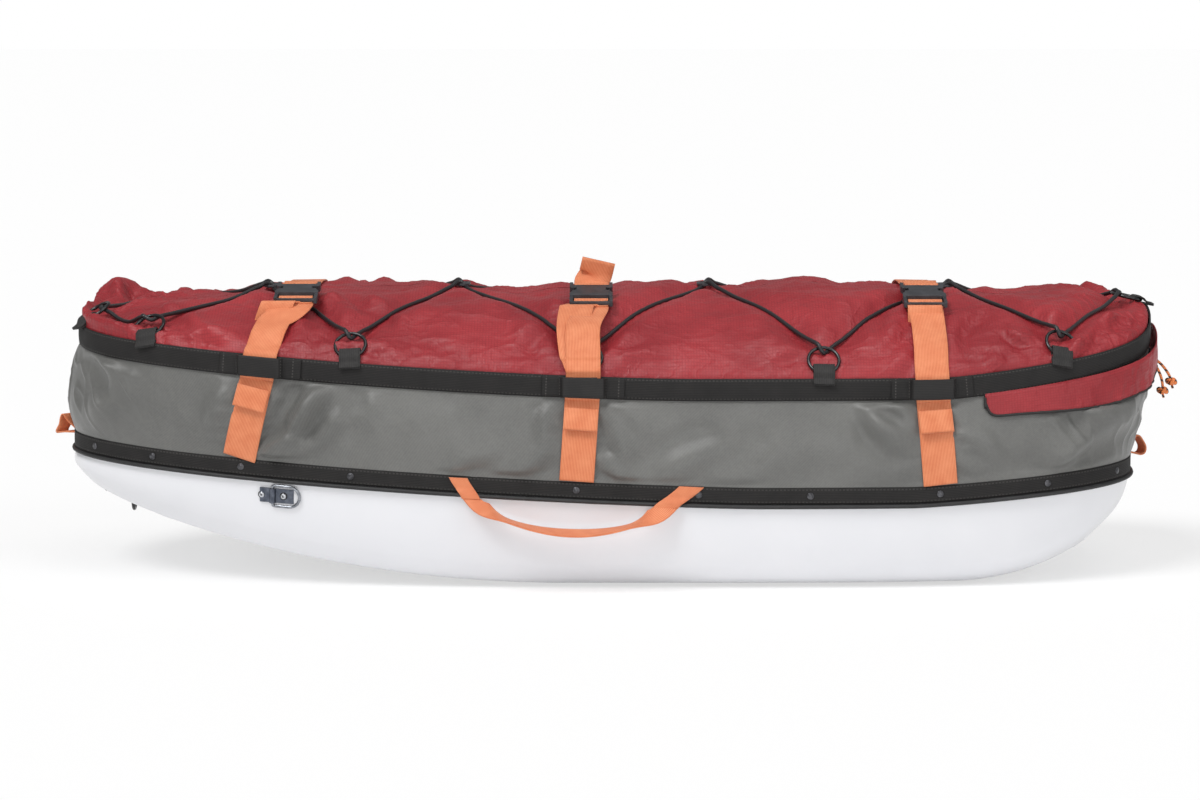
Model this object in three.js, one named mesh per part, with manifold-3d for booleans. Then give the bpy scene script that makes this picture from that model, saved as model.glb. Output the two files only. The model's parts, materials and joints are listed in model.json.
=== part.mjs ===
// A pulk sled: a moulded hull, a riveted cloth bag with a stuffed cover, three buckled straps,
// elastic lacing over the cover, carry handles, and steel lashing fittings.
// Millimetres. +X is the stern, -X the bow, -Y the near side and +Z up. Z is 0 under the runners.

import * as THREE from "three";
import { mergeVertices } from "three/addons/utils/BufferGeometryUtils.js";
import Module from "manifold-3d";

const wasm = await Module();
wasm.setup();

// Fits and thicknesses that many pieces share
const fit_gap = 0.35;
const webbing_thickness = 1.8;
const cloth_thickness = 1.6;
const weld = 0.001;

// Hull
const hull_bow_x = -632;
const hull_stern_x = 618;
const hull_half_width = 240;
const widest_x = 40;
const hull_wall = 4;
const hull_rim_z = 97;
const hull_upstand = 24;
const hull_bow_rise = 43;
const hull_stern_rise = 19;
const sheer_bow_x = 174;
const sheer_stern_x = 350;
const bow_power_share = 2.5;
const stern_power_share = 3.5;

// Underside of the hull
const keel_bow_x = -618;
const keel_stern_x = 582;
const keel_inset = 42;
const keel_bow_lift = 101;
const keel_stern_lift = 50;
const keel_bow_start_x = -50;
const keel_stern_start_x = 400;
const chine_round = 14;
const chine_height = 17;
const side_bulge = 5;
const spine_inset = 90;

// Runner strips
const runner_thickness = 4;
const runner_width = 22;
const runner_y = 97;
const runner_bow_x = -530;
const runner_stern_x = 560;
const runner_taper = 14;
const runner_tip_share = 0.2;

// Rim bead and lower band
const bead_height = 5;
const bead_depth = 5.5;
const lower_band_height = 19;
const pad_height = 17;
const pad_bite = 0.2;

// Bag: its upper edge, its wall and its top band
const bag_bow_x = -626;
const bag_stern_x = 641;
const bag_inset = 6;
const bag_mid_z = 245;
const bag_bow_rise = 44;
const bag_stern_rise = 27;
const bag_rise_bow_x = 100;
const bag_rise_stern_x = 380;
const bag_rise_reach = 212;
const bow_middle_lift = 14;
const stern_middle_lift = 30;
const middle_lift_width = 95;
const bow_pinch = 14;
const bow_pinch_width = 50;
const bag_bow_power_share = 3;
const bag_stern_power_share = 3.2;
const top_band_height = 25;
const skirt_bulge = 5;
const skirt_bow_bulge = 9;
const bow_bulge_reach = 150;

// Cover
const cover_thickness = 2;
const cover_hem = 14;
const crest_z = 326;
const crest_fall = 16;
const dome_power_share = 3.2;
const cover_spine_inset = 120;
const lump_radius = 38;
const bow_lump_inset = 26;
const stern_lump_inset = 34;
const lump_y = 110;
const far_bow_lump = 28;
const near_bow_lump = 6;
const far_stern_lump = 14;

// Flap over the zip at the stern
const flap_start_x = 430;
const flap_drop = 36;
const flap_corner = 16;
const flap_gap = 0.9;
const flap_stand_off = 6.8;
const slider_width = 9;
const slider_height = 14;
const slider_depth = 3.6;
const slider_spread = 10;
const slider_y = -40;
const slider_drop = 22;
const slider_gap = 1.2;

// Straps, keepers and buckles
const strap_width = 40;
const strap_run_in = 10;
const strap_run_out = 12;
const strap_lift = 1.5;
const cord_tunnel = 8.4;
const keeper_height = 24;
const keeper_reach = 47;
const keeper_bridge = 22.8;
const keeper_step = 4;
const bridge_height = 9;
const bridge_reach = 62;

// Buckles: u runs up the strap, w across it and h outward
const buckle_width = 50;
const buckle_rail = 4;
const buckle_front = 14;
const buckle_plate_start = -17.5;
const buckle_floor = 0.3;
const buckle_top = 11.3;
const rail_top = 9.3;
const plate_neck = 3.5;
const neck_start = -1;
const flank_length = 8;
const cavity_low = 2.6;
const cavity_high = 9.2;
const cavity_start = -13;
const cavity_half = 20;
const window_start = 1;
const window_end = 11;
const window_depth = 4.5;
const bar_inset = 1;
const main_bar_u = -23;
const outer_bar_u = -34;
const bar_half = 2;
const main_bar_low = 2.2;
const main_bar_high = 5.6;
const outer_bar_low = 4.4;
const outer_bar_high = 8;
const plug_bar_u = 33;
const plug_bar_low = 3.4;
const plug_bar_high = 6.6;
const plug_top = 9.8;
const plug_slot_start = 25;
const plug_chamfer = 4;
const plug_step = 2;
const prong_tip = -9;
const prong_low = 3.2;
const prong_high = 8.6;
const prong_inner = 13.5;
const prong_outer = 18.5;
const prong_barb = 19.6;
const prong_taper = 2;
const barb_low_u = 5;
const barb_high_u = 8;
const guide_half = 4;
const guide_tip = -7;
const doubled_end_u = 59;
const standing_u = 56;
const standing_height = 30;
const standing_shift = 9;
const cut_overrun = 1;

// Cord rings and their tabs
const ring_radius = 17.5;
const ring_wire = 2;
const tab_width = 25;
const tab_slope_reach = 26;
const ring_clearance = 8.4;
const tab_root = 2;
const tab_wall = 1.5;

// Elastic lacing and its centre hooks
const lace_radius = 2.5;
const lace_gap = 0.5;
const lace_rest = 4.7;
const hook_dip = 7.5;
const hook_climb = 5;
const hook_leg = 15;
const end_spread = 5.5;
const end_inset = 2.2;
const eye_radius = 8;
const eye_bar = 1.5;
const eye_spacing = 20;
const hook_thickness = 3;
const hook_height = 8.2;

// Carry handles
const handle_width = 22;
const handle_drop = 33;
const handle_lean = 1.05;
const handle_steps = 12;

// Bow and stern loops
const loop_width = 20;
const loop_reach = 9;
const loop_rise = 4;
const loop_height = 17;
const loop_root = 8;

// Lashing plates and D-rings
const plate_length = 40;
const plate_height = 17;
const plate_thickness = 1.8;
const plate_drop = 15;
const hump_offset = -5;
const d_wire = 1.75;
const d_height = 28;
const d_reach = 34;
const screw_hole = 2.2;
const screw_pitch = 13;

// Tow fitting under the bow
const tow_x = -566;
const tow_plate_length = 34;
const tow_plate_width = 17;
const tow_wire = 2.2;
const tow_ring_height = 28;
const tow_ring_reach = 24;
const tow_ring_swing = 0.32;
const tow_screw_pitch = 11;
const tow_loop_width = 25;
const tow_loop_reach = 12;
const tow_loop_height = 11;

// Zip pulls
const pull_radius = 1.6;

// Places along the hull, as shares of its length from the bow
const ring_place_shares = [0.0825, 0.272, 0.487, 0.7025, 0.9215];
const hook_place_shares = [0.187, 0.368, 0.599, 0.828];
const handle_place_shares = [0.372, 0.588];
const plate_place_share = 0.204;
const strap_place_shares = {
  front: { rim: 0.169, band: 0.19, buckle: 0.2176 },
  middle: { rim: 0.478, band: 0.484, buckle: 0.491, over_ring: "middle" },
  rear: { rim: 0.809, band: 0.801, buckle: 0.8 },
};
const buckle_side_share = 0.5;
const wall_share = 0.85;

// How finely things are divided
const half_steps = 18;
const fine_steps = 900;
const turn_weight = 1.1;
const cord_sides = 8;
const wire_sides = 6;
const ring_steps = 12;
const span_shares = [0.2, 0.46, 0.74];
const hole_sides = 5;
const flap_corner_share = 0.25;
const keel_row_shares = [1, 0.6];
const side_row_share = 0.45;
const dome_row_shares = [0.05, 0.12, 0.22, 0.36, 0.55, 0.78, 1];
const skirt_row_shares = [0, 0.25, 0.55, 0.85, 1];
const skirt_inner_shares = [1, 0.55, 0];
const tail_end_row = 2;
const near_top_row = 3;

const black_webbing = { color: 0x1d1d20, roughness: 0.85, metalness: 0 };
const black_plastic = { color: 0x1a1b1f, roughness: 0.4, metalness: 0 };
const orange_webbing = { color: 0xf0854f, roughness: 0.75, metalness: 0 };
const white_plastic = { color: 0xf2f3f5, roughness: 0.3, metalness: 0 };
const grey_cloth = { color: 0x5b5b5c, roughness: 0.7, metalness: 0 };
const red_cloth = { color: 0x8e2f3b, roughness: 0.55, metalness: 0 };
const bright_steel = { color: 0xb4b6ba, roughness: 0.3, metalness: 1 };
const black_steel = { color: 0x17171a, roughness: 0.3, metalness: 0.6 };
const flecked_cord = { color: 0xd8773f, roughness: 0.8, metalness: 0 };

const sled = new THREE.Group();
const mix = THREE.MathUtils.lerp;
const clamp = THREE.MathUtils.clamp;
const point = (x, y, z) => new THREE.Vector3(x, y, z);
const hull_length = hull_stern_x - hull_bow_x;
const along_hull = (share) => hull_bow_x + share * hull_length;

function add(name, geometry, look) {
  const mesh = new THREE.Mesh(geometry, new THREE.MeshStandardMaterial(look));
  mesh.name = name;
  sled.add(mesh);
  return mesh;
}

// Solids

// Welds a list of triangle corners into one closed surface that faces outward.
function closed_surface(corners) {
  const loose = new THREE.BufferGeometry().setFromPoints(corners);
  const merged = mergeVertices(loose, weld);
  const index = merged.index.array;
  const kept = [];
  for (let k = 0; k < index.length; k += 3) {
    const [a, b, c] = index.slice(k, k + 3);
    if (a !== b && b !== c && c !== a) kept.push(a, b, c);
  }
  const at = (i) => new THREE.Vector3().fromBufferAttribute(merged.attributes.position, i);
  let volume = 0;
  for (let k = 0; k < kept.length; k += 3) {
    volume += at(kept[k]).dot(at(kept[k + 1]).cross(at(kept[k + 2])));
  }
  merged.setIndex(volume > 0 ? kept : kept.reverse());
  return merged;
}

// A surface through loops of equally many points. ends: "joined" runs the last loop into the first,
// "capped" closes both end loops with flat fans, and "spined" leaves end loops that close on themselves.
function skin(loops, ends) {
  const corners = [];
  const spans = ends === "joined" ? loops.length : loops.length - 1;
  for (let k = 0; k < spans; k++) {
    const low = loops[k];
    const high = loops[(k + 1) % loops.length];
    low.forEach((corner, i) => {
      const next = (i + 1) % low.length;
      corners.push(corner, low[next], high[next]);
      corners.push(corner, high[next], high[i]);
    });
  }
  if (ends === "capped") {
    const first = loops[0];
    const last = loops[loops.length - 1];
    for (let i = 1; i < first.length - 1; i++) {
      corners.push(first[0], first[i + 1], first[i]);
      corners.push(last[0], last[i], last[i + 1]);
    }
  }
  return closed_surface(corners);
}

function to_solid(geometry) {
  const bare = new THREE.BufferGeometry();
  bare.setAttribute("position", geometry.attributes.position);
  if (geometry.index) bare.setIndex(geometry.index);
  const merged = mergeVertices(bare, weld);
  return new wasm.Manifold(
    new wasm.Mesh({
      numProp: 3,
      vertProperties: merged.attributes.position.array,
      triVerts: new Uint32Array(merged.index.array),
    }),
  );
}

function to_geometry(solid) {
  const mesh = solid.getMesh();
  const geometry = new THREE.BufferGeometry();
  geometry.setAttribute("position", new THREE.BufferAttribute(mesh.vertProperties, 3));
  geometry.setIndex(new THREE.BufferAttribute(mesh.triVerts, 1));
  return geometry;
}

const joined = (parts) => to_geometry(parts.map(to_solid).reduce((all, one) => all.add(one)));
const minus = (rest, tool) => rest.subtract(tool);
const cut = (body, tools) => to_geometry(tools.map(to_solid).reduce(minus, to_solid(body)));

// A box from its low to its high corner.
function block(low, high) {
  const size = high.clone().sub(low);
  const middle = low.clone().add(high).multiplyScalar(1 / 2);
  return new THREE.BoxGeometry(size.x, size.y, size.z).translate(middle.x, middle.y, middle.z);
}

// A flat outline of [x, y] corners, extruded from one height to another.
function slab(corners, low, high) {
  const shape = new THREE.Shape(corners.map(([x, y]) => new THREE.Vector2(x, y)));
  const body = new THREE.ExtrudeGeometry(shape, { depth: high - low, bevelEnabled: false });
  return body.translate(0, 0, low);
}

// A flat shape with a thickness along Z.
function extruded(shape, depth, curveSegments) {
  return new THREE.ExtrudeGeometry(shape, { depth, bevelEnabled: false, curveSegments });
}

// A round hole for a flat shape.
function round_hole(x, y, radius) {
  const corners = [];
  for (let k = 0; k < hole_sides * 2; k++) {
    const angle = (-Math.PI * k) / hole_sides;
    corners.push(new THREE.Vector2(x + radius * Math.cos(angle), y + radius * Math.sin(angle)));
  }
  return new THREE.Path(corners);
}

// A round wire bent into a closed flat figure of [x, y] corners in the XY plane.
function wire_figure(corners, radius, sides) {
  const count = corners.length;
  const loops = corners.map(([x, y], k) => {
    const [before_x, before_y] = corners[(k + count - 1) % count];
    const [after_x, after_y] = corners[(k + 1) % count];
    const heading = new THREE.Vector2(after_x - before_x, after_y - before_y).normalize();
    const loop = [];
    for (let i = 0; i < sides; i++) {
      const angle = (2 * Math.PI * (i + 1 / 2)) / sides;
      const out = radius * Math.cos(angle);
      loop.push(point(x + heading.y * out, y - heading.x * out, radius * Math.sin(angle)));
    }
    return loop;
  });
  return skin(loops, "joined");
}

// A frame from three axes and a place, to set a piece that is made at the origin.
function placing(x_axis, y_axis, z_axis, place) {
  return new THREE.Matrix4().makeBasis(x_axis, y_axis, z_axis).setPosition(place);
}

// Outlines seen from above

// Half of a boat-shaped outline, from the stern's middle along the near side to the bow's middle.
function half_outline(form) {
  const fine = [];
  for (let k = 0; k <= fine_steps; k++) {
    const angle = (Math.PI * k) / fine_steps;
    const astern = Math.cos(angle) >= 0;
    const reach = astern ? form.stern - widest_x : widest_x - form.bow;
    const power = astern ? form.stern_power : form.bow_power;
    const ahead = Math.abs(Math.cos(angle)) / reach;
    const aside = Math.sin(angle) / form.half;
    const r = (ahead ** power + aside ** power) ** (-1 / power);
    const y = -r * Math.sin(angle);
    const pull = astern ? 0 : form.pinch * Math.exp(-((y / bow_pinch_width) ** 2));
    fine.push(new THREE.Vector2(widest_x + r * Math.cos(angle) + pull, y));
  }
  return evenly(fine);
}

// Picks points at even steps of a measure that mixes length and turning, so bends get more points.
function evenly(fine) {
  const steps = fine.slice(1).map((p, k) => p.clone().sub(fine[k]));
  const whole = steps.reduce((sum, step) => sum + step.length(), 0);
  const measure = [0];
  steps.forEach((step, k) => {
    const turn = k ? Math.abs(step.angle() - steps[k - 1].angle()) % Math.PI : 0;
    measure.push(measure[k] + step.length() / whole + (turn_weight * turn) / Math.PI);
  });
  const total = measure[fine_steps];
  const picked = [];
  let k = 0;
  for (let i = 0; i <= half_steps; i++) {
    const wanted = (total * i) / half_steps;
    while (k < fine_steps - 1 && measure[k + 1] < wanted) k++;
    const share = clamp((wanted - measure[k]) / (measure[k + 1] - measure[k]), 0, 1);
    picked.push(fine[k].clone().lerp(fine[k + 1], share));
  }
  return picked;
}

// The whole outline as places with outward normals, round by the near side, the bow and the far side.
function outline(form) {
  const near = half_outline({ pinch: 0, ...form });
  near[0].y = 0;
  near[half_steps].y = 0;
  const far = near.slice(1, half_steps).reverse();
  const all = [...near, ...far.map((p) => new THREE.Vector2(p.x, -p.y))];
  return all.map((p, i) => {
    const before = all[(i + all.length - 1) % all.length];
    const after = all[(i + 1) % all.length];
    const heading = after.clone().sub(before).normalize();
    return { x: p.x, y: p.y, normal_x: -heading.y, normal_y: heading.x };
  });
}

// The place on an outline at a position that may lie between two of its points.
function between(line, position) {
  const count = line.length;
  const low = Math.floor(position);
  const share = position - low;
  const a = line[((low % count) + count) % count];
  const b = line[(((low + 1) % count) + count) % count];
  const normal_x = mix(a.normal_x, b.normal_x, share);
  const normal_y = mix(a.normal_y, b.normal_y, share);
  const size = Math.hypot(normal_x, normal_y);
  return {
    x: mix(a.x, b.x, share),
    y: mix(a.y, b.y, share),
    normal_x: normal_x / size,
    normal_y: normal_y / size,
  };
}

// The position on the near half of an outline where it reaches x.
function position_at(line, x) {
  for (let i = 0; i < half_steps; i++) {
    const a = line[i].x;
    const b = line[i + 1].x;
    if (a >= x && b <= x) return i + (a - x) / (a - b);
  }
  return 0;
}

// A loop of points off an outline: offset is outward, and height gives z from the place.
function loop_on(line, offset, height) {
  return line.map((p) => point(p.x + p.normal_x * offset, p.y + p.normal_y * offset, height(p)));
}

const rim = outline({
  bow: hull_bow_x,
  stern: hull_stern_x,
  half: hull_half_width,
  bow_power: bow_power_share,
  stern_power: stern_power_share,
});
const keel = outline({
  bow: keel_bow_x,
  stern: keel_stern_x,
  half: hull_half_width - keel_inset,
  bow_power: bow_power_share,
  stern_power: stern_power_share,
});
const bag = outline({
  bow: bag_bow_x,
  stern: bag_stern_x,
  half: hull_half_width - bag_inset,
  bow_power: bag_bow_power_share,
  stern_power: bag_stern_power_share,
  pinch: bow_pinch,
});

// Heights along the sled

function rim_z(p) {
  const ahead = Math.max(0, (sheer_bow_x - p.x) / (sheer_bow_x - hull_bow_x));
  const astern = Math.max(0, (p.x - sheer_stern_x) / (hull_stern_x - sheer_stern_x));
  return hull_rim_z + hull_bow_rise * ahead ** 1.35 + hull_stern_rise * astern ** 1.2;
}

function keel_z(p) {
  const ahead = Math.max(0, (keel_bow_start_x - p.x) / (keel_bow_start_x - keel_bow_x));
  const astern = Math.max(0, (p.x - keel_stern_start_x) / (keel_stern_x - keel_stern_start_x));
  return runner_thickness + fit_gap + keel_bow_lift * ahead ** 2 + keel_stern_lift * astern ** 2;
}

function band_z(p) {
  const ahead = Math.max(0, (bag_rise_bow_x - p.x) / (bag_rise_bow_x - bag_bow_x));
  const astern = Math.max(0, (p.x - bag_rise_stern_x) / bag_rise_reach);
  const middle = Math.exp(-((p.y / middle_lift_width) ** 2));
  const lift = p.x > bag_rise_stern_x ? stern_middle_lift : bow_middle_lift;
  const ends = Math.min(1, Math.max(ahead, astern)) ** 4;
  return bag_mid_z + bag_bow_rise * ahead ** 1.5 + bag_stern_rise * astern ** 1.3 + lift * middle * ends;
}

const lower_band_z = (p) => rim_z(p) + bead_height + fit_gap;
const lower_band_top_z = (p) => rim_z(p) + bead_height + fit_gap + lower_band_height;
const band_low_z = (p) => band_z(p) - top_band_height;

// Hull and what is fixed to it

// The point of the underside or the cover that lies a share of the way from the edge to the spine.
function toward_spine(p, share, bow_x, stern_x) {
  const spine_x = clamp(p.x, bow_x, stern_x);
  return { x: mix(p.x, spine_x, share), y: mix(p.y, 0, share) };
}

function underside_loop(line, share, raise) {
  return line.map((p) => {
    const q = toward_spine(p, 1 - share, keel_bow_x + spine_inset, keel_stern_x - spine_inset);
    return point(q.x, q.y, keel_z(q) + raise);
  });
}

// The hull's side at a share of the height from the chine to the rim.
function side_loop(share, inset) {
  return rim.map((p, i) => {
    const foot = keel[i];
    const low = keel_z(foot) + chine_height;
    const out = chine_round * (1 - share) ** 2;
    const x = mix(foot.x, p.x, share ** 0.7) + foot.normal_x * out;
    const y = mix(foot.y, p.y, share ** 0.7) + foot.normal_y * out;
    const swell = side_bulge * Math.sin(Math.PI * share) - inset;
    return point(x + p.normal_x * swell, y + p.normal_y * swell, mix(low, rim_z(p), share));
  });
}

function hull() {
  const outer = [
    underside_loop(keel, 0, 0),
    ...keel_row_shares.toReversed().map((share) => underside_loop(keel, share, 0)),
    side_loop(0, 0),
    side_loop(side_row_share, 0),
    side_loop(1, 0),
    loop_on(rim, 0, (p) => rim_z(p) + hull_upstand),
  ];
  const inner = [
    loop_on(rim, -hull_wall, (p) => rim_z(p) + hull_upstand),
    side_loop(1, hull_wall),
    side_loop(side_row_share, hull_wall),
    side_loop(0, hull_wall * 1.1),
    underside_loop(keel, 0.985, hull_wall),
    underside_loop(keel, 0, hull_wall),
  ];
  return skin([...outer, ...inner], "spined");
}

// One runner strip: it follows the underside, and its ends taper to nothing.
function runner(side) {
  const bow_steps = 10;
  const stern_steps = 9;
  const xs = [];
  for (let k = 0; k <= bow_steps; k++) {
    xs.push(mix(runner_bow_x, keel_bow_start_x, k / bow_steps));
  }
  for (let k = 0; k <= stern_steps; k++) {
    xs.push(mix(keel_stern_start_x, runner_stern_x, k / stern_steps));
  }
  const loops = xs.map((x) => {
    const top = keel_z({ x }) - fit_gap;
    const end = Math.min(x - runner_bow_x, runner_stern_x - x);
    const depth = runner_thickness * clamp(runner_tip_share + end / runner_taper, 0, 1);
    const near_edge = side * (runner_y - runner_width / 2);
    const far_edge = side * (runner_y + runner_width / 2);
    return [
      point(x, near_edge, top),
      point(x, far_edge, top),
      point(x, far_edge, top - depth),
      point(x, near_edge, top - depth),
    ];
  });
  return skin(loops, "capped");
}

function rim_bead() {
  const back = fit_gap;
  const loops = [
    loop_on(rim, back, rim_z),
    loop_on(rim, bead_depth * 0.85, (p) => rim_z(p) + bead_height * 0.1),
    loop_on(rim, bead_depth, (p) => rim_z(p) + bead_height * 0.5),
    loop_on(rim, bead_depth * 0.85, (p) => rim_z(p) + bead_height * 0.9),
    loop_on(rim, back, (p) => rim_z(p) + bead_height),
  ];
  return skin(loops, "joined");
}

const hem_in = fit_gap;
const hem_out = hem_in + cloth_thickness;
const lower_band_in = hem_out + fit_gap;
const lower_band_out = lower_band_in + webbing_thickness;

// A flat band round an outline, between two offsets and two heights.
function hoop(line, inside, outside, low, high) {
  const loops = [
    loop_on(line, inside, low),
    loop_on(line, outside, low),
    loop_on(line, outside, high),
    loop_on(line, inside, high),
  ];
  return skin(loops, "joined");
}

// How far out of the rim a handle hangs: in line with its sewn pads.
const handle_out = bead_depth + fit_gap * 2;

// The sewn end of a carry handle: it lies on the lower band and steps out over the bead.
function handle_pad(x, side) {
  const middle = position_at(rim, x);
  const rows = [
    { out: lower_band_out - pad_bite, z: bead_height + pad_height },
    { out: lower_band_out - pad_bite, z: bead_height * 1.9 },
    { out: handle_out, z: bead_height * 1.1 },
    { out: handle_out, z: 0 },
  ];
  const at_edge = (sign) => between(rim, position_at(rim, x + (sign * handle_width) / 2));
  const left = at_edge(-1);
  const right = at_edge(1);
  const base = rim_z(between(rim, middle));
  const loops = rows.map((row) => {
    const corner = (p, out) =>
      point(p.x + p.normal_x * out, -side * (p.y + p.normal_y * out), base + row.z);
    const outside = row.out + webbing_thickness;
    return [corner(left, row.out), corner(right, row.out), corner(right, outside), corner(left, outside)];
  });
  return skin(loops, "capped");
}

function lower_band() {
  const band = hoop(rim, lower_band_in, lower_band_out, lower_band_z, lower_band_top_z);
  const pads = [];
  for (const share of handle_place_shares) {
    for (const side of [-1, 1]) pads.push(handle_pad(along_hull(share), side));
  }
  return joined([band, ...pads]);
}

// Bag

const band_in = fit_gap;
const band_out = band_in + webbing_thickness;
const cover_out = -cloth_thickness - fit_gap;

function bow_weight(x) {
  const t = clamp((hull_bow_x + bow_bulge_reach - x) / bow_bulge_reach, 0, 1);
  return t * t * (3 - 2 * t);
}

// The skirt between the lower band's top and the top band's foot, at a share of the height.
function skirt_loop(share, back) {
  return rim.map((p, i) => {
    const top = bag[i];
    const out = mix(hem_out, 0, share) - back;
    const swell = (skirt_bulge + skirt_bow_bulge * bow_weight(p.x)) * Math.sin(Math.PI * share) + out;
    const x = mix(p.x, top.x, share) + p.normal_x * swell;
    const y = mix(p.y, top.y, share) + p.normal_y * swell;
    return point(x, y, mix(lower_band_top_z(p) + fit_gap * 3, band_low_z(top) - fit_gap, share));
  });
}

const skirt_outer_loops = skirt_row_shares.map((share) => skirt_loop(share, 0));

function skirt() {
  const foot = (back) => loop_on(rim, hem_out - back, (p) => lower_band_z(p));
  const head = (back) => loop_on(bag, -back, (p) => band_z(p) - fit_gap * 6);
  const inner = skirt_inner_shares.map((share) => skirt_loop(share, cloth_thickness));
  const outer = [foot(0), ...skirt_outer_loops, head(0)];
  return skin([...outer, head(cloth_thickness), ...inner, foot(cloth_thickness)], "joined");
}

function crest_at(x) {
  const middle = (bag_bow_x + bag_stern_x) / 2;
  const half = (bag_stern_x - bag_bow_x) / 2;
  return crest_z - crest_fall * Math.abs((x - middle) / half) ** 5;
}

const cover_lumps = [
  { x: bag_bow_x + bow_lump_inset, y: lump_y, rise: far_bow_lump },
  { x: bag_bow_x + bow_lump_inset, y: -lump_y, rise: near_bow_lump },
  { x: bag_stern_x - stern_lump_inset, y: lump_y, rise: far_stern_lump },
];

function lump_at(x, y) {
  return cover_lumps.reduce((sum, lump) => {
    const away = ((x - lump.x) ** 2 + (y - lump.y) ** 2) / lump_radius ** 2;
    return sum + lump.rise * Math.exp(-away);
  }, 0);
}

// The cover's outside at a place on the bag's edge and a share of the way to the spine.
function cover_point(edge, share) {
  const start = { x: edge.x + edge.normal_x * cover_out, y: edge.y + edge.normal_y * cover_out };
  const q = toward_spine(start, share, bag_bow_x + cover_spine_inset, bag_stern_x - cover_spine_inset);
  const low = band_z(edge);
  const dome = 1 - (1 - share) ** dome_power_share;
  const lump = lump_at(q.x, q.y) * (1 - (1 - share) ** 8) * (1 - share ** 2);
  return point(q.x, q.y, low + (crest_at(q.x) - low) * dome + lump);
}

const cover_outer_loops = dome_row_shares.map((share) => bag.map((edge) => cover_point(edge, share)));

function cover() {
  const hem = (back, height) => loop_on(bag, cover_out - back, height);
  const foot = (p) => band_z(p) - cover_hem;
  const inner_rows = cover_outer_loops.filter((_, k) => k % 2 === 0);
  const inner = inner_rows.map((loop) => loop.map((p) => point(p.x, p.y, p.z - cover_thickness * 1.5)));
  const loops = [
    ...cover_outer_loops.toReversed(),
    hem(0, band_z),
    hem(0, foot),
    hem(cloth_thickness, foot),
    hem(cloth_thickness, (p) => band_z(p) - cover_thickness * 1.5),
    ...inner,
  ];
  return skin(loops, "spined");
}

// The flap under the top band: it hugs the skirt at its ends and stands off at the zip sliders.
function flap_offset(p) {
  const share = clamp((p.x - flap_start_x) / (bag_stern_x - flap_start_x), 0, 1);
  return flap_gap + flap_stand_off * share ** 2;
}

function stern_flap() {
  const start = position_at(bag, flap_start_x);
  const positions = [start, start - flap_corner_share];
  for (let i = Math.ceil(start - 1); i >= 0; i--) positions.push(i);
  const all = [...positions, ...positions.slice(0, -1).reverse().map((position) => -position)];
  const loops = all.map((position, k) => {
    const p = between(bag, position);
    const inside = flap_offset(p);
    const outside = inside + cloth_thickness;
    const top = band_low_z(p) - fit_gap;
    const round = k === 0 || k === all.length - 1 ? flap_corner : 0;
    const corner = (out, drop) => {
      const skirt_in = skirt_fall(position, drop) + out;
      return point(p.x + p.normal_x * skirt_in, p.y + p.normal_y * skirt_in, top - drop);
    };
    const drop = flap_drop - round;
    return [corner(inside, 0), corner(outside, 0), corner(outside, drop), corner(inside, drop)];
  });
  return skin(loops, "capped");
}

// How far the skirt's outside lies from the bag's edge, a drop below the top band's foot.
function skirt_fall(position, drop) {
  const top = between(bag, position);
  const foot = between(rim, position);
  const height = band_low_z(top) - lower_band_top_z(foot);
  const share = 1 - drop / height;
  const low_x = foot.x + foot.normal_x * hem_out;
  const low_y = foot.y + foot.normal_y * hem_out;
  const bulge = (skirt_bulge + skirt_bow_bulge * bow_weight(foot.x)) * Math.sin(Math.PI * share);
  const x = mix(low_x, top.x, share);
  const y = mix(low_y, top.y, share);
  return (x - top.x) * top.normal_x + (y - top.y) * top.normal_y + bulge;
}

// Rings in their tabs

// The frame of a cord ring: its x runs along the band, its y up the cover's slope and its z outward.
// Its origin is where the tab leaves the band.
function ring_frame(position, side) {
  const edge = between(bag, position);
  const along = point(edge.normal_y, -edge.normal_x, 0);
  const spine_x = clamp(edge.x, bag_bow_x + cover_spine_inset, bag_stern_x - cover_spine_inset);
  const slope_share = tab_slope_reach / Math.hypot(edge.x - spine_x, edge.y);
  const seat = cover_point(edge, slope_share);
  const deeper = cover_point(edge, slope_share * 1.2);
  const slope = deeper.clone().sub(seat).normalize();
  const lift = slope.clone().cross(along).normalize();
  if (lift.z < 0) lift.negate();
  const goal = seat.clone().addScaledVector(lift, ring_clearance);
  const thick = ring_wire + fit_gap + tab_wall;
  const root = point(edge.x + edge.normal_x * band_in, edge.y + edge.normal_y * band_in, band_z(edge));
  let up = goal.clone().sub(root).normalize();
  let out = up.clone().cross(along).normalize();
  if (out.z < 0) out.negate();
  const place = root.clone().addScaledVector(out, thick);
  up = goal.clone().sub(place).normalize();
  out = up.clone().cross(along).normalize();
  if (out.z < 0) out.negate();
  const x_axis = up.clone().cross(out);
  if (side > 0) {
    for (const axis of [x_axis, up, out, place]) axis.y = -axis.y;
    x_axis.negate();
  }
  return { matrix: placing(x_axis, up, out, place), x_axis, up, out, place };
}

const channel_low = tab_root + tab_wall;
const half_chord = tab_width / 2;
const ring_rise = Math.sqrt(ring_radius ** 2 - half_chord ** 2);
const lowest_wire = channel_low + fit_gap + ring_wire;
const ring_centre = lowest_wire + ring_radius;
const channel_high = ring_centre - ring_rise + (ring_wire * ring_radius) / ring_rise + fit_gap * 2;

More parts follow.
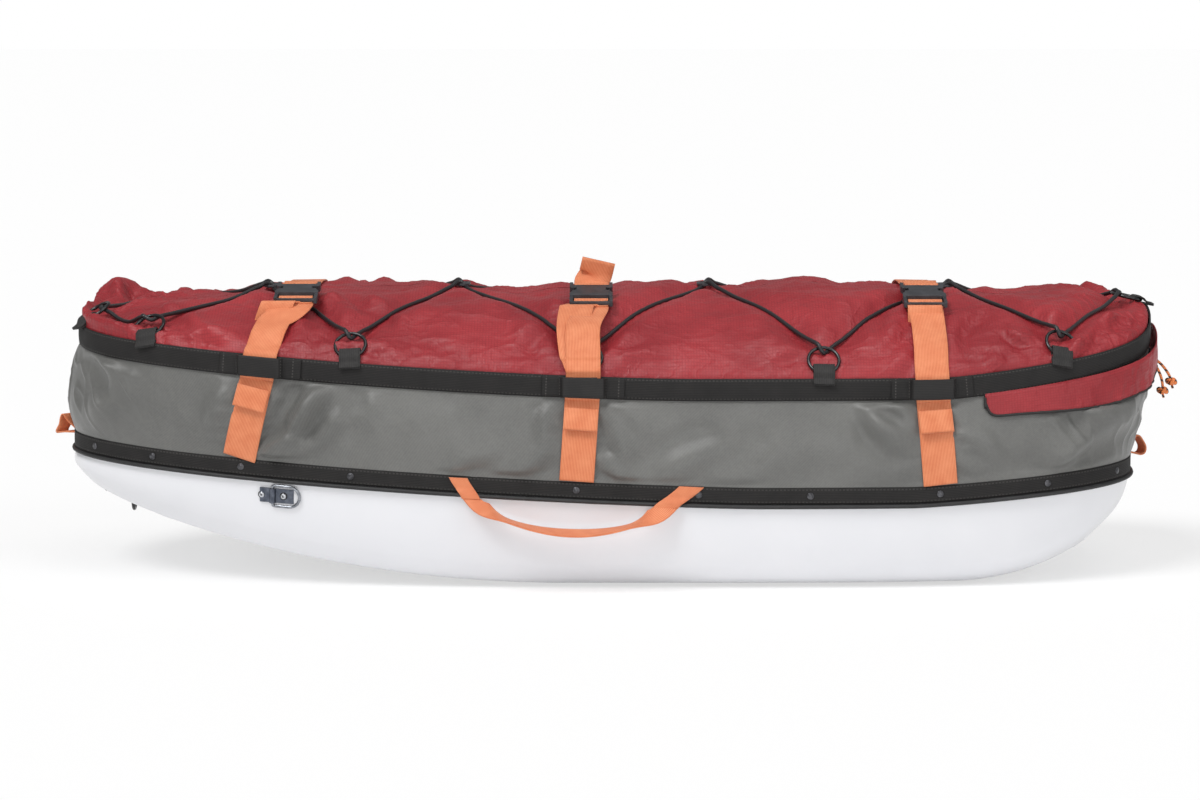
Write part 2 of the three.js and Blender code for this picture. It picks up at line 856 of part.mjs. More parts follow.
// A tab: webbing folded round the ring's lower bar, with the channel that the bar lies in.
function ring_tab(frame) {
  const half = ring_wire + fit_gap;
  const skin_out = half + tab_wall;
  const side_view = new THREE.Shape();
  side_view.moveTo(-webbing_thickness, -skin_out);
  side_view.lineTo(channel_high, -skin_out);
  side_view.lineTo(channel_high + tab_wall, -half * 0.6);
  side_view.lineTo(channel_high + tab_wall, half * 0.6);
  side_view.lineTo(channel_high, skin_out);
  side_view.lineTo(channel_low, skin_out);
  side_view.lineTo(0, -skin_out + webbing_thickness);
  side_view.lineTo(-webbing_thickness, -skin_out + webbing_thickness);
  const channel = new THREE.Path();
  channel.moveTo(channel_low, -half);
  channel.lineTo(channel_high, -half);
  channel.lineTo(channel_high, half);
  channel.lineTo(channel_low, half);
  side_view.holes.push(channel);
  const body = new THREE.ExtrudeGeometry(side_view, { depth: tab_width, bevelEnabled: false });
  body.translate(0, 0, -tab_width / 2);
  const turned = new THREE.Matrix4().makeBasis(point(0, 1, 0), point(0, 0, 1), point(1, 0, 0));
  return body.applyMatrix4(turned).applyMatrix4(frame.matrix);
}

const ring_names = ["bow", "forward", "middle", "aft", "stern"];
const ring_frames = [];
ring_place_shares.forEach((share, k) => {
  for (const side of [-1, 1]) {
    const label = "cord_ring_" + (side < 0 ? "near_" : "far_") + ring_names[k];
    ring_frames.push({ label, ...ring_frame(position_at(bag, along_hull(share)), side) });
  }
});
const bow_ring = { label: "cord_ring_bow_centre", ...ring_frame(half_steps, -1) };
const stern_ring = { label: "cord_ring_stern_centre", ...ring_frame(0, -1) };
ring_frames.push(bow_ring, stern_ring);

function cord_ring(frame) {
  const ring = new THREE.TorusGeometry(ring_radius, ring_wire, wire_sides, ring_steps);
  return ring.translate(0, ring_centre, 0).applyMatrix4(frame.matrix);
}

function top_band() {
  const band = hoop(bag, band_in, band_out, band_low_z, band_z);
  return joined([band, ...ring_frames.map(ring_tab)]);
}

// Straps

// A line of stations over the bag's outside at x, near side: each has three points across the
// strap and the outward normal at each.
function strap_stations(strap, rows) {
  const columns = [-strap_width / 2, 0, strap_width / 2];
  const grid = rows.map((row) =>
    columns.map((aside) => (row.ring ? bridge_point(row, aside) : crossing(row.loop, row.x + aside))),
  );
  return grid.map((across, k) => {
    const before = grid[Math.max(0, k - 1)];
    const after = grid[Math.min(grid.length - 1, k + 1)];
    const side = across[2].clone().sub(across[0]);
    const normals = across.map((_, c) => side.clone().cross(after[c].clone().sub(before[c])).normalize());
    return { across, normals, lift: rows[k].lift ?? 0 };
  });
}

// Where a loop's near side reaches x.
function crossing(loop, x) {
  for (let i = 0; i < half_steps; i++) {
    const a = loop[i];
    const b = loop[i + 1];
    if (a.x >= x && b.x <= x) return a.clone().lerp(b, (a.x - x) / (a.x - b.x));
  }
  return loop[0].clone();
}

const keeper_face = band_out + strap_lift;

// The rows of a strap that passes over a cord ring: by the tab's shoulder, and above the cord's hook.
function bridge_rows(strap) {
  const ring = ring_frames.find(({ label }) => label === "cord_ring_near_" + strap.over_ring);
  const shoulder = tab_wall + ring_wire + fit_gap + strap_lift;
  const rows = [
    [channel_low * 0.8, shoulder],
    [channel_high, shoulder + fit_gap],
    [ring_centre, bridge_height],
    [bridge_reach, bridge_height],
  ];
  return rows.map(([up, out]) => ({
    ring,
    up,
    out,
    aside: along_hull(strap.band) - ring.place.x,
  }));
}

function bridge_point(row, aside) {
  return row.ring.place
    .clone()
    .addScaledVector(row.ring.x_axis, row.aside + aside)
    .addScaledVector(row.ring.up, row.up)
    .addScaledVector(row.ring.out, row.out);
}

// The rows that a strap crosses from the lower band up to a row of the cover.
function strap_rows(strap, last_row) {
  const rim_x = along_hull(strap.rim);
  const band_x = along_hull(strap.band);
  const buckle_x = along_hull(strap.buckle);
  const rows = skirt_outer_loops.slice(0, -1).map((loop, k) => ({
    loop,
    x: mix(rim_x, band_x, skirt_row_shares[k] * wall_share),
  }));
  rows.push({ loop: loop_on(bag, band_out, band_low_z), x: mix(rim_x, band_x, wall_share) });
  rows.push({ loop: loop_on(bag, band_out, band_z), x: band_x });
  const first_row = strap.over_ring ? near_top_row : 0;
  if (strap.over_ring) rows.push(...bridge_rows(strap));
  for (let k = first_row; k <= last_row; k++) {
    const share = dome_row_shares[k];
    const x = mix(band_x, buckle_x, share / buckle_side_share);
    const lift = cord_tunnel * Math.min(1, share / dome_row_shares[1]) - strap_lift;
    rows.push({ loop: cover_outer_loops[k], x, lift });
  }
  return rows;
}

// A section of webbing at a station, a height above the bag, with its face toward the bag first.
function section(station, height, thickness) {
  const raised = (p, c, rise) => p.clone().addScaledVector(station.normals[c], rise);
  const low = station.across.map((p, c) => raised(p, c, height + station.lift));
  const high = low.map((p, c) => raised(p, c, thickness));
  return { low, high };
}

// The frame at a buckle: u up the strap toward the crest, w toward the stern and h outward.
function buckle_frame(strap) {
  const x = along_hull(strap.buckle);
  const edge = between(bag, position_at(bag, x));
  const middle = cover_point(edge, buckle_side_share);
  const above = cover_point(edge, buckle_side_share + 0.02);
  const u = above.clone().sub(middle).setX(0).normalize();
  const w = point(1, 0, 0);
  const h = w.clone().cross(u);
  if (h.z < 0) h.negate();
  const place = middle.clone().setX(x).addScaledVector(h, cord_tunnel);
  return { u, w, h, place, matrix: placing(w, u, h, place) };
}

// A section of webbing in a buckle's frame: its middle at (u, h), and the direction of its outer face.
function buckle_section(frame, u, h, outer_u, outer_h, shift = 0) {
  const length = Math.hypot(outer_u, outer_h);
  const half = webbing_thickness / 2 / length;
  const row = (sign) =>
    [-strap_width / 2, 0, strap_width / 2].map((w) =>
      frame.place
        .clone()
        .addScaledVector(frame.w, w + shift)
        .addScaledVector(frame.u, u + sign * outer_u * half)
        .addScaledVector(frame.h, h + sign * outer_h * half),
    );
  return { low: row(-1), high: row(1) };
}

function ribbon(sections) {
  return skin(sections.map(({ low, high }) => [...low, ...high.toReversed()]), "capped");
}

const plug_end = plug_bar_u + bar_half;
const swap = ({ low, high }) => ({ low: high, high: low });
const lay = webbing_thickness / 2;
const second_lay = lay + webbing_thickness + fit_gap;
const wrap = fit_gap + webbing_thickness / 2;

// The near half of a strap: up from the rim, round the buckle's main bar and back down as the tail.
function near_strap(strap) {
  const frame = buckle_frame(strap);
  const stations = strap_stations(strap, strap_rows(strap, near_top_row));
  const up = stations.map((station) => section(station, strap_lift, webbing_thickness));
  const bar_near = main_bar_u - bar_half;
  const bar_far = main_bar_u + bar_half;
  const turn = [
    buckle_section(frame, outer_bar_u - strap_run_in, lay, 0, 1),
    buckle_section(frame, bar_far, lay, 0, 1),
    buckle_section(frame, bar_far + wrap, lay + wrap, -1, 0.6),
    buckle_section(frame, bar_far + wrap, main_bar_high, -1, -0.2),
    buckle_section(frame, bar_far, main_bar_high + wrap, -0.3, -1),
    buckle_section(frame, bar_near, main_bar_high + wrap, 0.3, -1),
    buckle_section(frame, bar_near - wrap * 1.3, main_bar_high, 1, -0.5),
    buckle_section(frame, outer_bar_u + bar_half + wrap, second_lay, 0.4, -1),
    buckle_section(frame, outer_bar_u - strap_run_in, second_lay + fit_gap, 0, -1),
  ];
  const over = strap_lift + webbing_thickness + fit_gap;
  const tail = stations.slice(tail_end_row).reverse();
  const down = tail.map((station, k) => {
    const layers = k === tail.length - 1 ? 2 : 1;
    return swap(section(station, over, webbing_thickness * layers));
  });
  return ribbon([...up, ...turn, ...down]);
}

const flip = ({ low, high }) => ({
  low: low.map((p) => point(p.x, -p.y, p.z)),
  high: high.map((p) => point(p.x, -p.y, p.z)),
});

// The far half of a strap: round the plug's bar, over the crest and down to the far rim.
function far_strap(strap) {
  const frame = buckle_frame(strap);
  const upper_lay = second_lay + fit_gap;
  const start = strap.over_ring
    ? [
        buckle_section(frame, standing_u, standing_height, -1, 0, standing_shift),
        buckle_section(frame, standing_u, standing_height / 3, -1, 0, standing_shift / 2),
        buckle_section(frame, standing_u - upper_lay, upper_lay * 2, -1, -1),
      ]
    : [buckle_section(frame, doubled_end_u, upper_lay, 0, -1)];
  const turn = [
    ...start,
    buckle_section(frame, plug_end + strap_run_in, upper_lay, 0, -1),
    buckle_section(frame, plug_end, plug_bar_high + wrap, 0, -1),
    buckle_section(frame, plug_bar_u - bar_half, plug_bar_high + wrap, 0.3, -1),
    buckle_section(frame, plug_bar_u - bar_half - wrap, plug_bar_high, 1, -0.3),
    buckle_section(frame, plug_bar_u - bar_half - wrap, lay + wrap, 1, 0.5),
    buckle_section(frame, plug_bar_u - bar_half, lay, 0.2, 1),
    buckle_section(frame, plug_end + strap_run_out, lay, 0, 1),
  ];
  const rows = strap_rows(strap, dome_row_shares.length - 1);
  const stations = strap_stations(strap, rows);
  const top = stations.length - 1;
  const crest = stations[top];
  crest.normals = crest.normals.map(() => point(0, 0, 1));
  const crest_section = section(crest, strap_lift, webbing_thickness);
  const lower = stations.slice(0, top).reverse();
  const down = lower.map((station) => flip(section(station, strap_lift, webbing_thickness)));
  return ribbon([...turn, crest_section, ...down]);
}

// A keeper: webbing sewn to the top band at both ends, bridging the strap and its tail.
function keeper(strap, side) {
  const middle_x = along_hull(strap.band);
  const tail_stack = side < 0 ? 2 : 1;
  const high = keeper_face + tail_stack * (webbing_thickness + fit_gap) + strap_lift;
  const low = band_out + fit_gap * 2;
  const places = [
    [-keeper_reach, low],
    [-keeper_bridge - keeper_step, low],
    [-keeper_bridge, high],
    [0, high],
    [keeper_bridge, high],
    [keeper_bridge + keeper_step, low],
    [keeper_reach, low],
  ];
  const spare = (top_band_height - keeper_height) / 2;
  const loops = places.map(([aside, out]) => {
    const p = between(bag, position_at(bag, middle_x + aside));
    const corner = (offset, z) =>
      point(p.x + p.normal_x * offset, -side * (p.y + p.normal_y * offset), z);
    const bottom = band_low_z(p) + spare;
    const top = band_z(p) - spare;
    const face = out + webbing_thickness;
    return [corner(out, bottom), corner(face, bottom), corner(face, top), corner(out, top)];
  });
  return skin(loops, "capped");
}

// Buckles

// The housing half: a strap frame with two bars, and a hollow plate that takes the plug's prongs.
function buckle_housing() {
  const half = buckle_width / 2;
  const neck = half - plate_neck;
  const rail_in = half - buckle_rail;
  const flank = buckle_plate_start + flank_length;
  const outline_right = [
    [half, buckle_plate_start],
    [half, flank],
    [neck, neck_start],
    [neck, buckle_front],
  ];
  const outline_left = outline_right.toReversed().map(([w, u]) => [-w, u]);
  const body = slab([...outline_right, ...outline_left], buckle_floor, buckle_top);
  const rail = (low_w, high_w) =>
    block(
      point(low_w, outer_bar_u - bar_half, main_bar_low),
      point(high_w, buckle_plate_start + bar_inset, rail_top),
    );
  const bar = (u, low, high) =>
    block(point(bar_inset - half, u - bar_half, low), point(half - bar_inset, u + bar_half, high));
  const whole = joined([
    body,
    rail(-half, -rail_in),
    rail(rail_in, half),
    bar(main_bar_u, main_bar_low, main_bar_high),
    bar(outer_bar_u, outer_bar_low, outer_bar_high),
  ]);
  const window_in = neck - window_depth;
  const window_out = half + cut_overrun;
  const window = (low_w, high_w) =>
    block(point(low_w, window_start, cavity_low), point(high_w, window_end, buckle_top + cut_overrun));
  const cavity = block(
    point(-cavity_half, cavity_start, cavity_low),
    point(cavity_half, buckle_front + cut_overrun, cavity_high),
  );
  return cut(whole, [cavity, window(-window_out, -window_in), window(window_in, window_out)]);
}

// The plug half: a strap frame with one bar, two barbed prongs and a centre guide.
function buckle_plug() {
  const half = buckle_width / 2;
  const shoulder = buckle_front + fit_gap;
  const frame_right = [
    [half - plug_step, shoulder],
    [half, shoulder + plug_chamfer],
    [half, plug_end],
  ];
  const frame_left = frame_right.toReversed().map(([w, u]) => [-w, u]);
  const frame = slab([...frame_right, ...frame_left], main_bar_low, plug_top);
  const open_half = half - buckle_rail;
  const slot_end = plug_bar_u - bar_half;
  const opening = (low_u, high_u, low_h, high_h) =>
    block(point(-open_half, low_u, low_h), point(open_half, high_u, high_h));
  const root = shoulder + cut_overrun;
  const prong = [
    [prong_inner, root],
    [prong_outer, root],
    [prong_outer, barb_high_u],
    [prong_barb, barb_high_u],
    [prong_barb, barb_low_u],
    [prong_outer - prong_taper, prong_tip],
    [prong_inner, prong_tip],
  ];
  const other_prong = prong.toReversed().map(([w, u]) => [-w, u]);
  const prongs = [prong, other_prong].map((corners) => slab(corners, prong_low, prong_high));
  const guide = block(point(-guide_half, guide_tip, prong_low), point(guide_half, root, prong_high));
  const whole = joined([frame, ...prongs, guide]);
  return cut(whole, [
    opening(plug_slot_start, slot_end, 0, buckle_top),
    opening(slot_end - cut_overrun, plug_end + cut_overrun, plug_bar_high, buckle_top),
    opening(slot_end - cut_overrun, plug_end + cut_overrun, 0, plug_bar_low),
  ]);
}

// Lacing

// A curve whose steps follow its own points, so that tight bends keep their points.
class HandSpacedCurve extends THREE.CatmullRomCurve3 {
  getUtoTmapping(share) {
    return share;
  }
}

function round_section(radius, sides) {
  const corners = [];
  for (let k = 0; k < sides; k++) {
    const angle = (2 * Math.PI * (k + 1 / 2)) / sides;
    corners.push(new THREE.Vector2(radius * Math.cos(angle), radius * Math.sin(angle)));
  }
  return new THREE.Shape(corners);
}

// A round cord through a list of points, one straight step from each to the next.
function cord(points, radius) {
  const path = new HandSpacedCurve(points, false, "centripetal");
  return new THREE.ExtrudeGeometry(round_section(radius, cord_sides), {
    steps: points.length - 1,
    bevelEnabled: false,
    extrudePath: path,
  });
}

// The points of a cord that hooks round the bar of a ring or an eye: over the bar on the way in,
// through the hole and under the bar on the way out, or the other way round.
function hooked(eye, from, to) {
  const low = eye.centre.clone().addScaledVector(eye.up, eye.radius - hook_dip);
  const over = eye.wire + lace_radius + lace_gap;
  const leg = (goal, length, height) => {
    const heading = goal.clone().sub(low);
    heading.addScaledVector(eye.out, -heading.dot(eye.out)).normalize();
    return low.clone().addScaledVector(heading, length).addScaledVector(eye.out, height);
  };
  const points = [low];
  const way = eye.under_first ? -1 : 1;
  if (from) points.unshift(leg(from, hook_leg, way * over), leg(from, hook_climb, way * over));
  if (to) points.push(leg(to, hook_climb, -way * over), leg(to, hook_leg, -way * over));
  return points;
}

const ring_eye = (frame) => ({
  centre: frame.place.clone().addScaledVector(frame.up, ring_centre),
  up: frame.up,
  out: frame.out,
  radius: ring_radius,
  wire: ring_wire,
});

// The centre hooks lie flat over the crest, and each has one eye for either cord.
function hook_centre(share) {
  const x = along_hull(share);
  return point(x, 0, crest_at(x) + hook_height);
}

function hook_eye(share, side) {
  const centre = hook_centre(share).setY((side * eye_spacing) / 2);
  return {
    centre,
    up: point(0, side, 0),
    out: point(0, 0, 1),
    radius: eye_radius,
    wire: eye_bar,
    under_first: share > strap_place_shares.middle.band,
  };
}

// The cover's height at a place, found along the line from the edge to the spine.
function cover_height(x, y) {
  const near = between(bag, position_at(bag, x));
  const side = y > 0 ? -1 : 1;
  const edge = { x, y: near.y * side, normal_x: near.normal_x, normal_y: near.normal_y * side };
  const start_y = edge.y + edge.normal_y * cover_out;
  return cover_point(edge, clamp(1 - y / start_y, 0, 1)).z;
}

// One side's lacing: from the bow ring, by the side rings and the centre hooks, to the stern ring.
function lacing_points(side) {
  const label = side < 0 ? "cord_ring_near" : "cord_ring_far";
  const side_rings = ring_frames.filter((frame) => frame.label.startsWith(label)).map(ring_eye);
  const eyes = [];
  side_rings.forEach((eye, k) => {
    eyes.push(eye);
    if (k < hook_place_shares.length) eyes.push(hook_eye(hook_place_shares[k], side));
  });
  const [first, last] = [bow_ring, stern_ring].map(ring_eye);
  for (const end of [first, last]) {
    end.centre.y += side * end_spread;
    end.radius -= end_inset;
  }
  const stops = [first, ...eyes, last];
  const points = [];
  stops.forEach((eye, k) => {
    const from = k ? stops[k - 1].centre : null;
    const to = k < stops.length - 1 ? stops[k + 1].centre : null;
    const hooks = hooked(eye, from, to);
    if (points.length) points.push(...span_points(points[points.length - 1], hooks[0]));
    points.push(...hooks);
  });
  return points;
}

// The points of a cord that lies on the cover between two hooks, closer together at the lower end.
function span_points(from, to) {
  const rising = from.z < to.z;
  const shares = rising ? span_shares : span_shares.toReversed().map((share) => 1 - share);
  return shares.map((share) => {
    const p = from.clone().lerp(to, share);
    const floor = cover_height(p.x, p.y) + lace_rest;
    p.z = Math.max(p.z, floor);
    return p;
  });
}

function centre_hook(share) {
  const place = hook_centre(share);
  const outer = eye_radius + eye_bar;
  const inner = eye_radius - eye_bar;
  const outline_shape = new THREE.Shape();
  outline_shape.absarc(eye_spacing / 2, 0, outer, -Math.PI / 2, Math.PI / 2);
  outline_shape.absarc(-eye_spacing / 2, 0, outer, Math.PI / 2, (3 * Math.PI) / 2);
  for (const side of [-1, 1]) {
    outline_shape.holes.push(round_hole((side * eye_spacing) / 2, 0, inner));
  }
  const body = extruded(outline_shape, hook_thickness, 5);
  body.translate(0, 0, -hook_thickness / 2).rotateZ(Math.PI / 2);
  return body.translate(place.x, place.y, place.z);
}

// Handles, loops and fittings

// A ribbon along a list of stations, each with a middle, a half width and a half thickness vector.
function webbing(stations) {
  const loops = stations.map(({ middle, half, thick }) => {
    const corner = (a, b) => middle.clone().addScaledVector(half, a).addScaledVector(thick, b);
    return [corner(-1, -1), corner(1, -1), corner(1, 1), corner(-1, 1)];
  });
  return skin(loops, "capped");
}

// A carry handle hangs in an arc between its sewn ends, and its webbing leans out in the middle.
function carry_handle(side) {
  const ends = handle_place_shares.map((share) => between(rim, position_at(rim, along_hull(share))));
  const stations = [];
  for (let k = 0; k <= handle_steps; k++) {
    const share = k / handle_steps;
    const hang = (1 - (2 * share - 1) ** 2) ** 0.8;
    const x = mix(ends[0].x, ends[1].x, share);
    const z = mix(rim_z(ends[0]), rim_z(ends[1]), share) - fit_gap - handle_drop * hang;
    const out = mix(Math.abs(ends[0].y), Math.abs(ends[1].y), share) + handle_out;
    stations.push({ x, z, hang, out });
  }
  const last = handle_steps;
  return webbing(
    stations.map(({ x, z, hang, out }, k) => {
      const a = stations[Math.max(0, k - 1)];
      const b = stations[Math.min(last, k + 1)];
      const heading = point(b.x - a.x, 0, b.z - a.z).normalize();
      const at_end = k === 0 || k === last;
      const lean = handle_lean * hang;
      const width = at_end ? handle_width : handle_width * 0.8;
      const across = at_end ? point(1, 0, 0) : point(-heading.z, 0, heading.x);
      const face = point(0, side, 0);
      const half = across.clone().multiplyScalar(Math.cos(lean)).addScaledVector(face, -Math.sin(lean));
      const thick = across.clone().multiplyScalar(Math.sin(lean)).addScaledVector(face, Math.cos(lean));
      const y = out + webbing_thickness / 2 + (width / 2) * Math.sin(lean);
      return {
        middle: point(x, side * y, z),
        half: half.multiplyScalar(width / 2),
        thick: thick.multiplyScalar(webbing_thickness / 2),
      };
    }),
  );
}

// A loop of webbing sewn at its root: two layers that part into a round eye. It points along +X.
function webbing_loop(reach, rise, height, width) {
  const radius = height / 2;
  const root = loop_root / 2;
  const shape = new THREE.Shape();
  shape.moveTo(0, -root);
  shape.absarc(reach, rise, radius, -Math.PI * 0.6, Math.PI * 0.6);
  shape.lineTo(0, root);
  shape.holes.push(round_hole(reach, rise, radius - webbing_thickness));
  const body = extruded(shape, width, 8);
  return body.translate(0, 0, -width / 2).rotateX(Math.PI / 2);
}

function bow_loop() {
  const base = lower_band_top_z(rim[half_steps]) - loop_root / 2;
  const out = hull_bow_x - lower_band_out - fit_gap;
  return webbing_loop(loop_reach, loop_rise, loop_height, loop_width)
    .rotateZ(Math.PI)
    .translate(out, 0, base);
}

function stern_loop() {
  const base = lower_band_top_z(rim[0]) - loop_root / 2;
  const out = hull_stern_x + lower_band_out + fit_gap;
  return webbing_loop(loop_reach, loop_rise, loop_height, loop_width).translate(out, 0, base);
}

// A pressed steel plate with a half-round hump across it. Its length runs along X, its face along +Z
// and the hump's hollow along Y.
function saddle_plate(size) {
  const half = size.length / 2;
  const tunnel = size.wire + fit_gap;
  const top = size.lift + plate_thickness;
  const across = new THREE.Shape();
  const hump = size.hump;
  const crown = tunnel + size.lift;
  across.moveTo(-half, size.lift);
  across.lineTo(hump - tunnel, size.lift);
  across.absarc(hump, crown - tunnel + size.wire, tunnel, Math.PI, 0, true);
  across.lineTo(hump + tunnel, size.lift);
  across.lineTo(half, size.lift);
  across.lineTo(half, top);
  across.lineTo(hump + tunnel + plate_thickness, top);
  across.absarc(hump, crown - tunnel + size.wire, tunnel + plate_thickness, 0, Math.PI, false);
  across.lineTo(hump - tunnel - plate_thickness, top);
  across.lineTo(-half, top);
  const body = extruded(across, size.width, 4);
  body.translate(0, 0, -size.width / 2).rotateX(Math.PI / 2);
  const deep = size.lift + size.wire * 2 + plate_thickness * 2;
  const screws = [size.hump - size.screw_pitch, size.hump + size.screw_pitch].map((x) => {
    const hole = new THREE.CylinderGeometry(screw_hole, screw_hole, deep * 2, hole_sides);
    return hole.rotateX(Math.PI / 2).translate(x, 0, deep / 2);
  });
  return cut(body, screws);
}

// A D-ring whose straight bar lies on the Y axis, and whose bow reaches along +X.
function d_ring(size) {
  const half = size.height / 2 - size.wire;
  const corners = [];
  const arc_steps = 8;
  const far = size.reach - size.wire - half;
  for (let k = 0; k <= arc_steps; k++) {
    const angle = -Math.PI / 2 + (Math.PI * k) / arc_steps;
    corners.push([far + half * Math.cos(angle), half * Math.sin(angle)]);
  }
  const fold = size.wire * 1.2;
  corners.push([far / 2, half], [fold, half], [0, half - fold]);
  corners.push([0, fold - half], [fold, -half], [far / 2, -half]);
  return wire_figure(corners, size.wire, wire_sides);
}

const lashing_size = {
  length: plate_length,
  width: plate_height,
  hump: hump_offset,
  wire: d_wire,
  height: d_height,
  reach: d_reach,
  lift: fit_gap * 2,
  screw_pitch,
};

// The frame of a lashing plate on the hull's side: X toward the stern, Y up the side, Z outward.
function lashing_frame(side) {
  const position = position_at(rim, along_hull(plate_place_share));
  const middle = between_points(side_loop(side_row_share, 0), position);
  const top = between_points(side_loop(1, 0), position);
  const ahead = between_points(side_loop(1, 0), position + 0.1);
  const up = top.clone().sub(middle).normalize();
  const along = top.clone().sub(ahead).normalize();
  const out = along.clone().cross(up).normalize();
  const place = top.clone().addScaledVector(up, -plate_drop);
  const exact_up = out.clone().cross(along);
  if (side < 0) return { matrix: placing(along, exact_up, out, place), place, along, up: exact_up, out };
  const turned = [along, exact_up, out, place].map((v) => point(v.x, -v.y, v.z));
  return {
    matrix: placing(turned[0], turned[1].clone().negate(), turned[2], turned[3]),
    place: turned[3],
    along: turned[0],
    up: turned[1],
    out: turned[2],
  };
}

function between_points(loop, position) {
  const low = Math.floor(position);
  return loop[low].clone().lerp(loop[low + 1], position - low);
}

function lashing_plate(side) {
  return saddle_plate(lashing_size).applyMatrix4(lashing_frame(side).matrix);
}

function lashing_ring(side) {
  const ring = d_ring(lashing_size).translate(hump_offset, 0, lashing_size.lift + d_wire);
  return ring.applyMatrix4(lashing_frame(side).matrix);
}

// Tow fitting: a saddle plate under the bow, a D-ring that hangs from it, and a webbing loop ahead.
const tow_size = {
  length: tow_plate_length,
  width: tow_plate_width,
  hump: 0,
  wire: tow_wire,
  height: tow_ring_height,
  reach: tow_ring_reach,
  lift: fit_gap,
  screw_pitch: tow_screw_pitch,
};

function tow_frame(x) {
  const ahead_z = keel_z({ x: x - tow_plate_length });
  const astern_z = keel_z({ x: x + tow_plate_length });
  const slope = (astern_z - ahead_z) / (2 * tow_plate_length);
  const along = point(1, 0, slope).normalize();
  const out = point(slope, 0, -1).normalize();
  return placing(along, point(0, -1, 0), out, point(x, 0, keel_z({ x })));
}

function tow_plate() {
  return saddle_plate(tow_size).applyMatrix4(tow_frame(tow_x));
}

function tow_ring() {
  const hanging = Math.PI / 2 - tow_ring_swing;
  return d_ring(tow_size)
    .rotateY(-hanging)
    .translate(0, 0, tow_size.lift + tow_wire)
    .applyMatrix4(tow_frame(tow_x));
}

function tow_loop() {
  const place = tow_x - tow_plate_length / 2 - fit_gap;
  return webbing_loop(tow_loop_reach, 0, tow_loop_height, tow_loop_width)
    .rotateZ(Math.PI)
    .translate(0, 0, tow_loop_height / 2 + fit_gap)
    .applyMatrix4(tow_frame(place));
}

// Zip sliders and their pulls, between the stern wall and the flap

function slider_frame(k) {
  const y = slider_y + (k ? slider_spread : -slider_spread);
  const position = position_of_y(y);
  const p = between(bag, position);
  const fall = skirt_fall(position, slider_drop);
  const place = point(p.x + p.normal_x * fall, p.y + p.normal_y * fall, band_low_z(p) - slider_drop);
  return { place, out: point(p.normal_x, p.normal_y, 0), along: point(-p.normal_y, p.normal_x, 0) };
}

// The position near the middle of the stern where the bag's edge reaches a near-side y.
function position_of_y(y) {
  for (let i = 0; i < half_steps; i++) {
    if (bag[i + 1].y <= y) return i + (y - bag[i].y) / (bag[i + 1].y - bag[i].y);
  }
  return 0;
}

function zip_slider(k) {
  const { place, out, along } = slider_frame(k);
  const half = slider_width / 2;
  const tall = slider_height / 2;
  const waist = half * 0.6;
  const body = slab(
    [
      [-half, tall],
      [-waist, -tall * 0.3],
      [-waist, -tall],
      [waist, -tall],
      [waist, -tall * 0.3],
      [half, tall],
    ],
    0,
    slider_depth,
  );
  const seat = place.clone().addScaledVector(out, slider_gap);
  return body.applyMatrix4(placing(along, point(0, 0, 1), out, seat));
}

// A zip pull: a short cord that hangs from its slider, behind the flap and clear of it below.
const pull_route = [
  [4, -9, 0],
  [4.2, -15, 0],
  [5, -21, 0.5],
  [8, -29, 1],
  [12, -38, 2],
  [14.5, -47, 3],
  [16, -56, 3.5],
];

function zip_pull(k) {
  const { place, out, along } = slider_frame(k);
  const spread = k ? 1 : -1;
  const points = pull_route.map(([away, drop, aside]) => {
    const knot = place.clone().add(point(0, 0, drop)).addScaledVector(out, away);
    return knot.addScaledVector(along, -spread * aside);
  });
  return cord(points, pull_radius);
}

// The whole sled

const both_sides = [
  ["near", -1],
  ["far", 1],
];

add("hull", hull(), white_plastic);
add("runner_near", runner(-1), white_plastic);
add("runner_far", runner(1), white_plastic);
add("rim_edging", rim_bead(), black_plastic);
add("lower_band", lower_band(), black_webbing);
add("skirt", skirt(), grey_cloth);
add("top_band", top_band(), black_webbing);
add("cover", cover(), red_cloth);
add("stern_flap", stern_flap(), red_cloth);
ring_frames.forEach((frame) => add(frame.label, cord_ring(frame), black_steel));
for (const [name, strap] of Object.entries(strap_place_shares)) {
  const frame = buckle_frame(strap);
  for (const [label, side] of both_sides) {
    add("keeper_" + name + "_" + label, keeper(strap, side), black_webbing);
  }
  add("strap_" + name + "_near", near_strap(strap), orange_webbing);
  add("strap_" + name + "_far", far_strap(strap), orange_webbing);
  add("buckle_housing_" + name, buckle_housing().applyMatrix4(frame.matrix), black_plastic);
  add("buckle_plug_" + name, buckle_plug().applyMatrix4(frame.matrix), black_plastic);
}
for (const [label, side] of both_sides) {
  add("lacing_" + label, cord(lacing_points(side), lace_radius), black_webbing);
}
hook_place_shares.forEach((share, k) => add("centre_hook_" + (k + 1), centre_hook(share), black_plastic));
for (const [label, side] of both_sides) {
  add("carry_handle_" + label, carry_handle(side), orange_webbing);
  add("lashing_plate_" + label, lashing_plate(side), bright_steel);
  add("lashing_ring_" + label, lashing_ring(side), bright_steel);
}
add("bow_loop", bow_loop(), orange_webbing);
add("stern_loop", stern_loop(), orange_webbing);
add("tow_plate", tow_plate(), black_steel);
add("tow_ring", tow_ring(), black_steel);
add("tow_loop", tow_loop(), black_webbing);
for (const k of [0, 1]) {
  add("zip_slider_" + (k + 1), zip_slider(k), black_plastic);
  add("zip_pull_" + (k + 1), zip_pull(k), flecked_cord);
}

export default sled;
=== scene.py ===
# Looks for the pulk sled. Lengths are millimetres until a mesh is made.
# +X is astern, -Y the near side and +Z up.

import json
import math

import bmesh
import bpy
import numpy as np
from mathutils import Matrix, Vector, noise
from mathutils.bvhtree import BVHTree

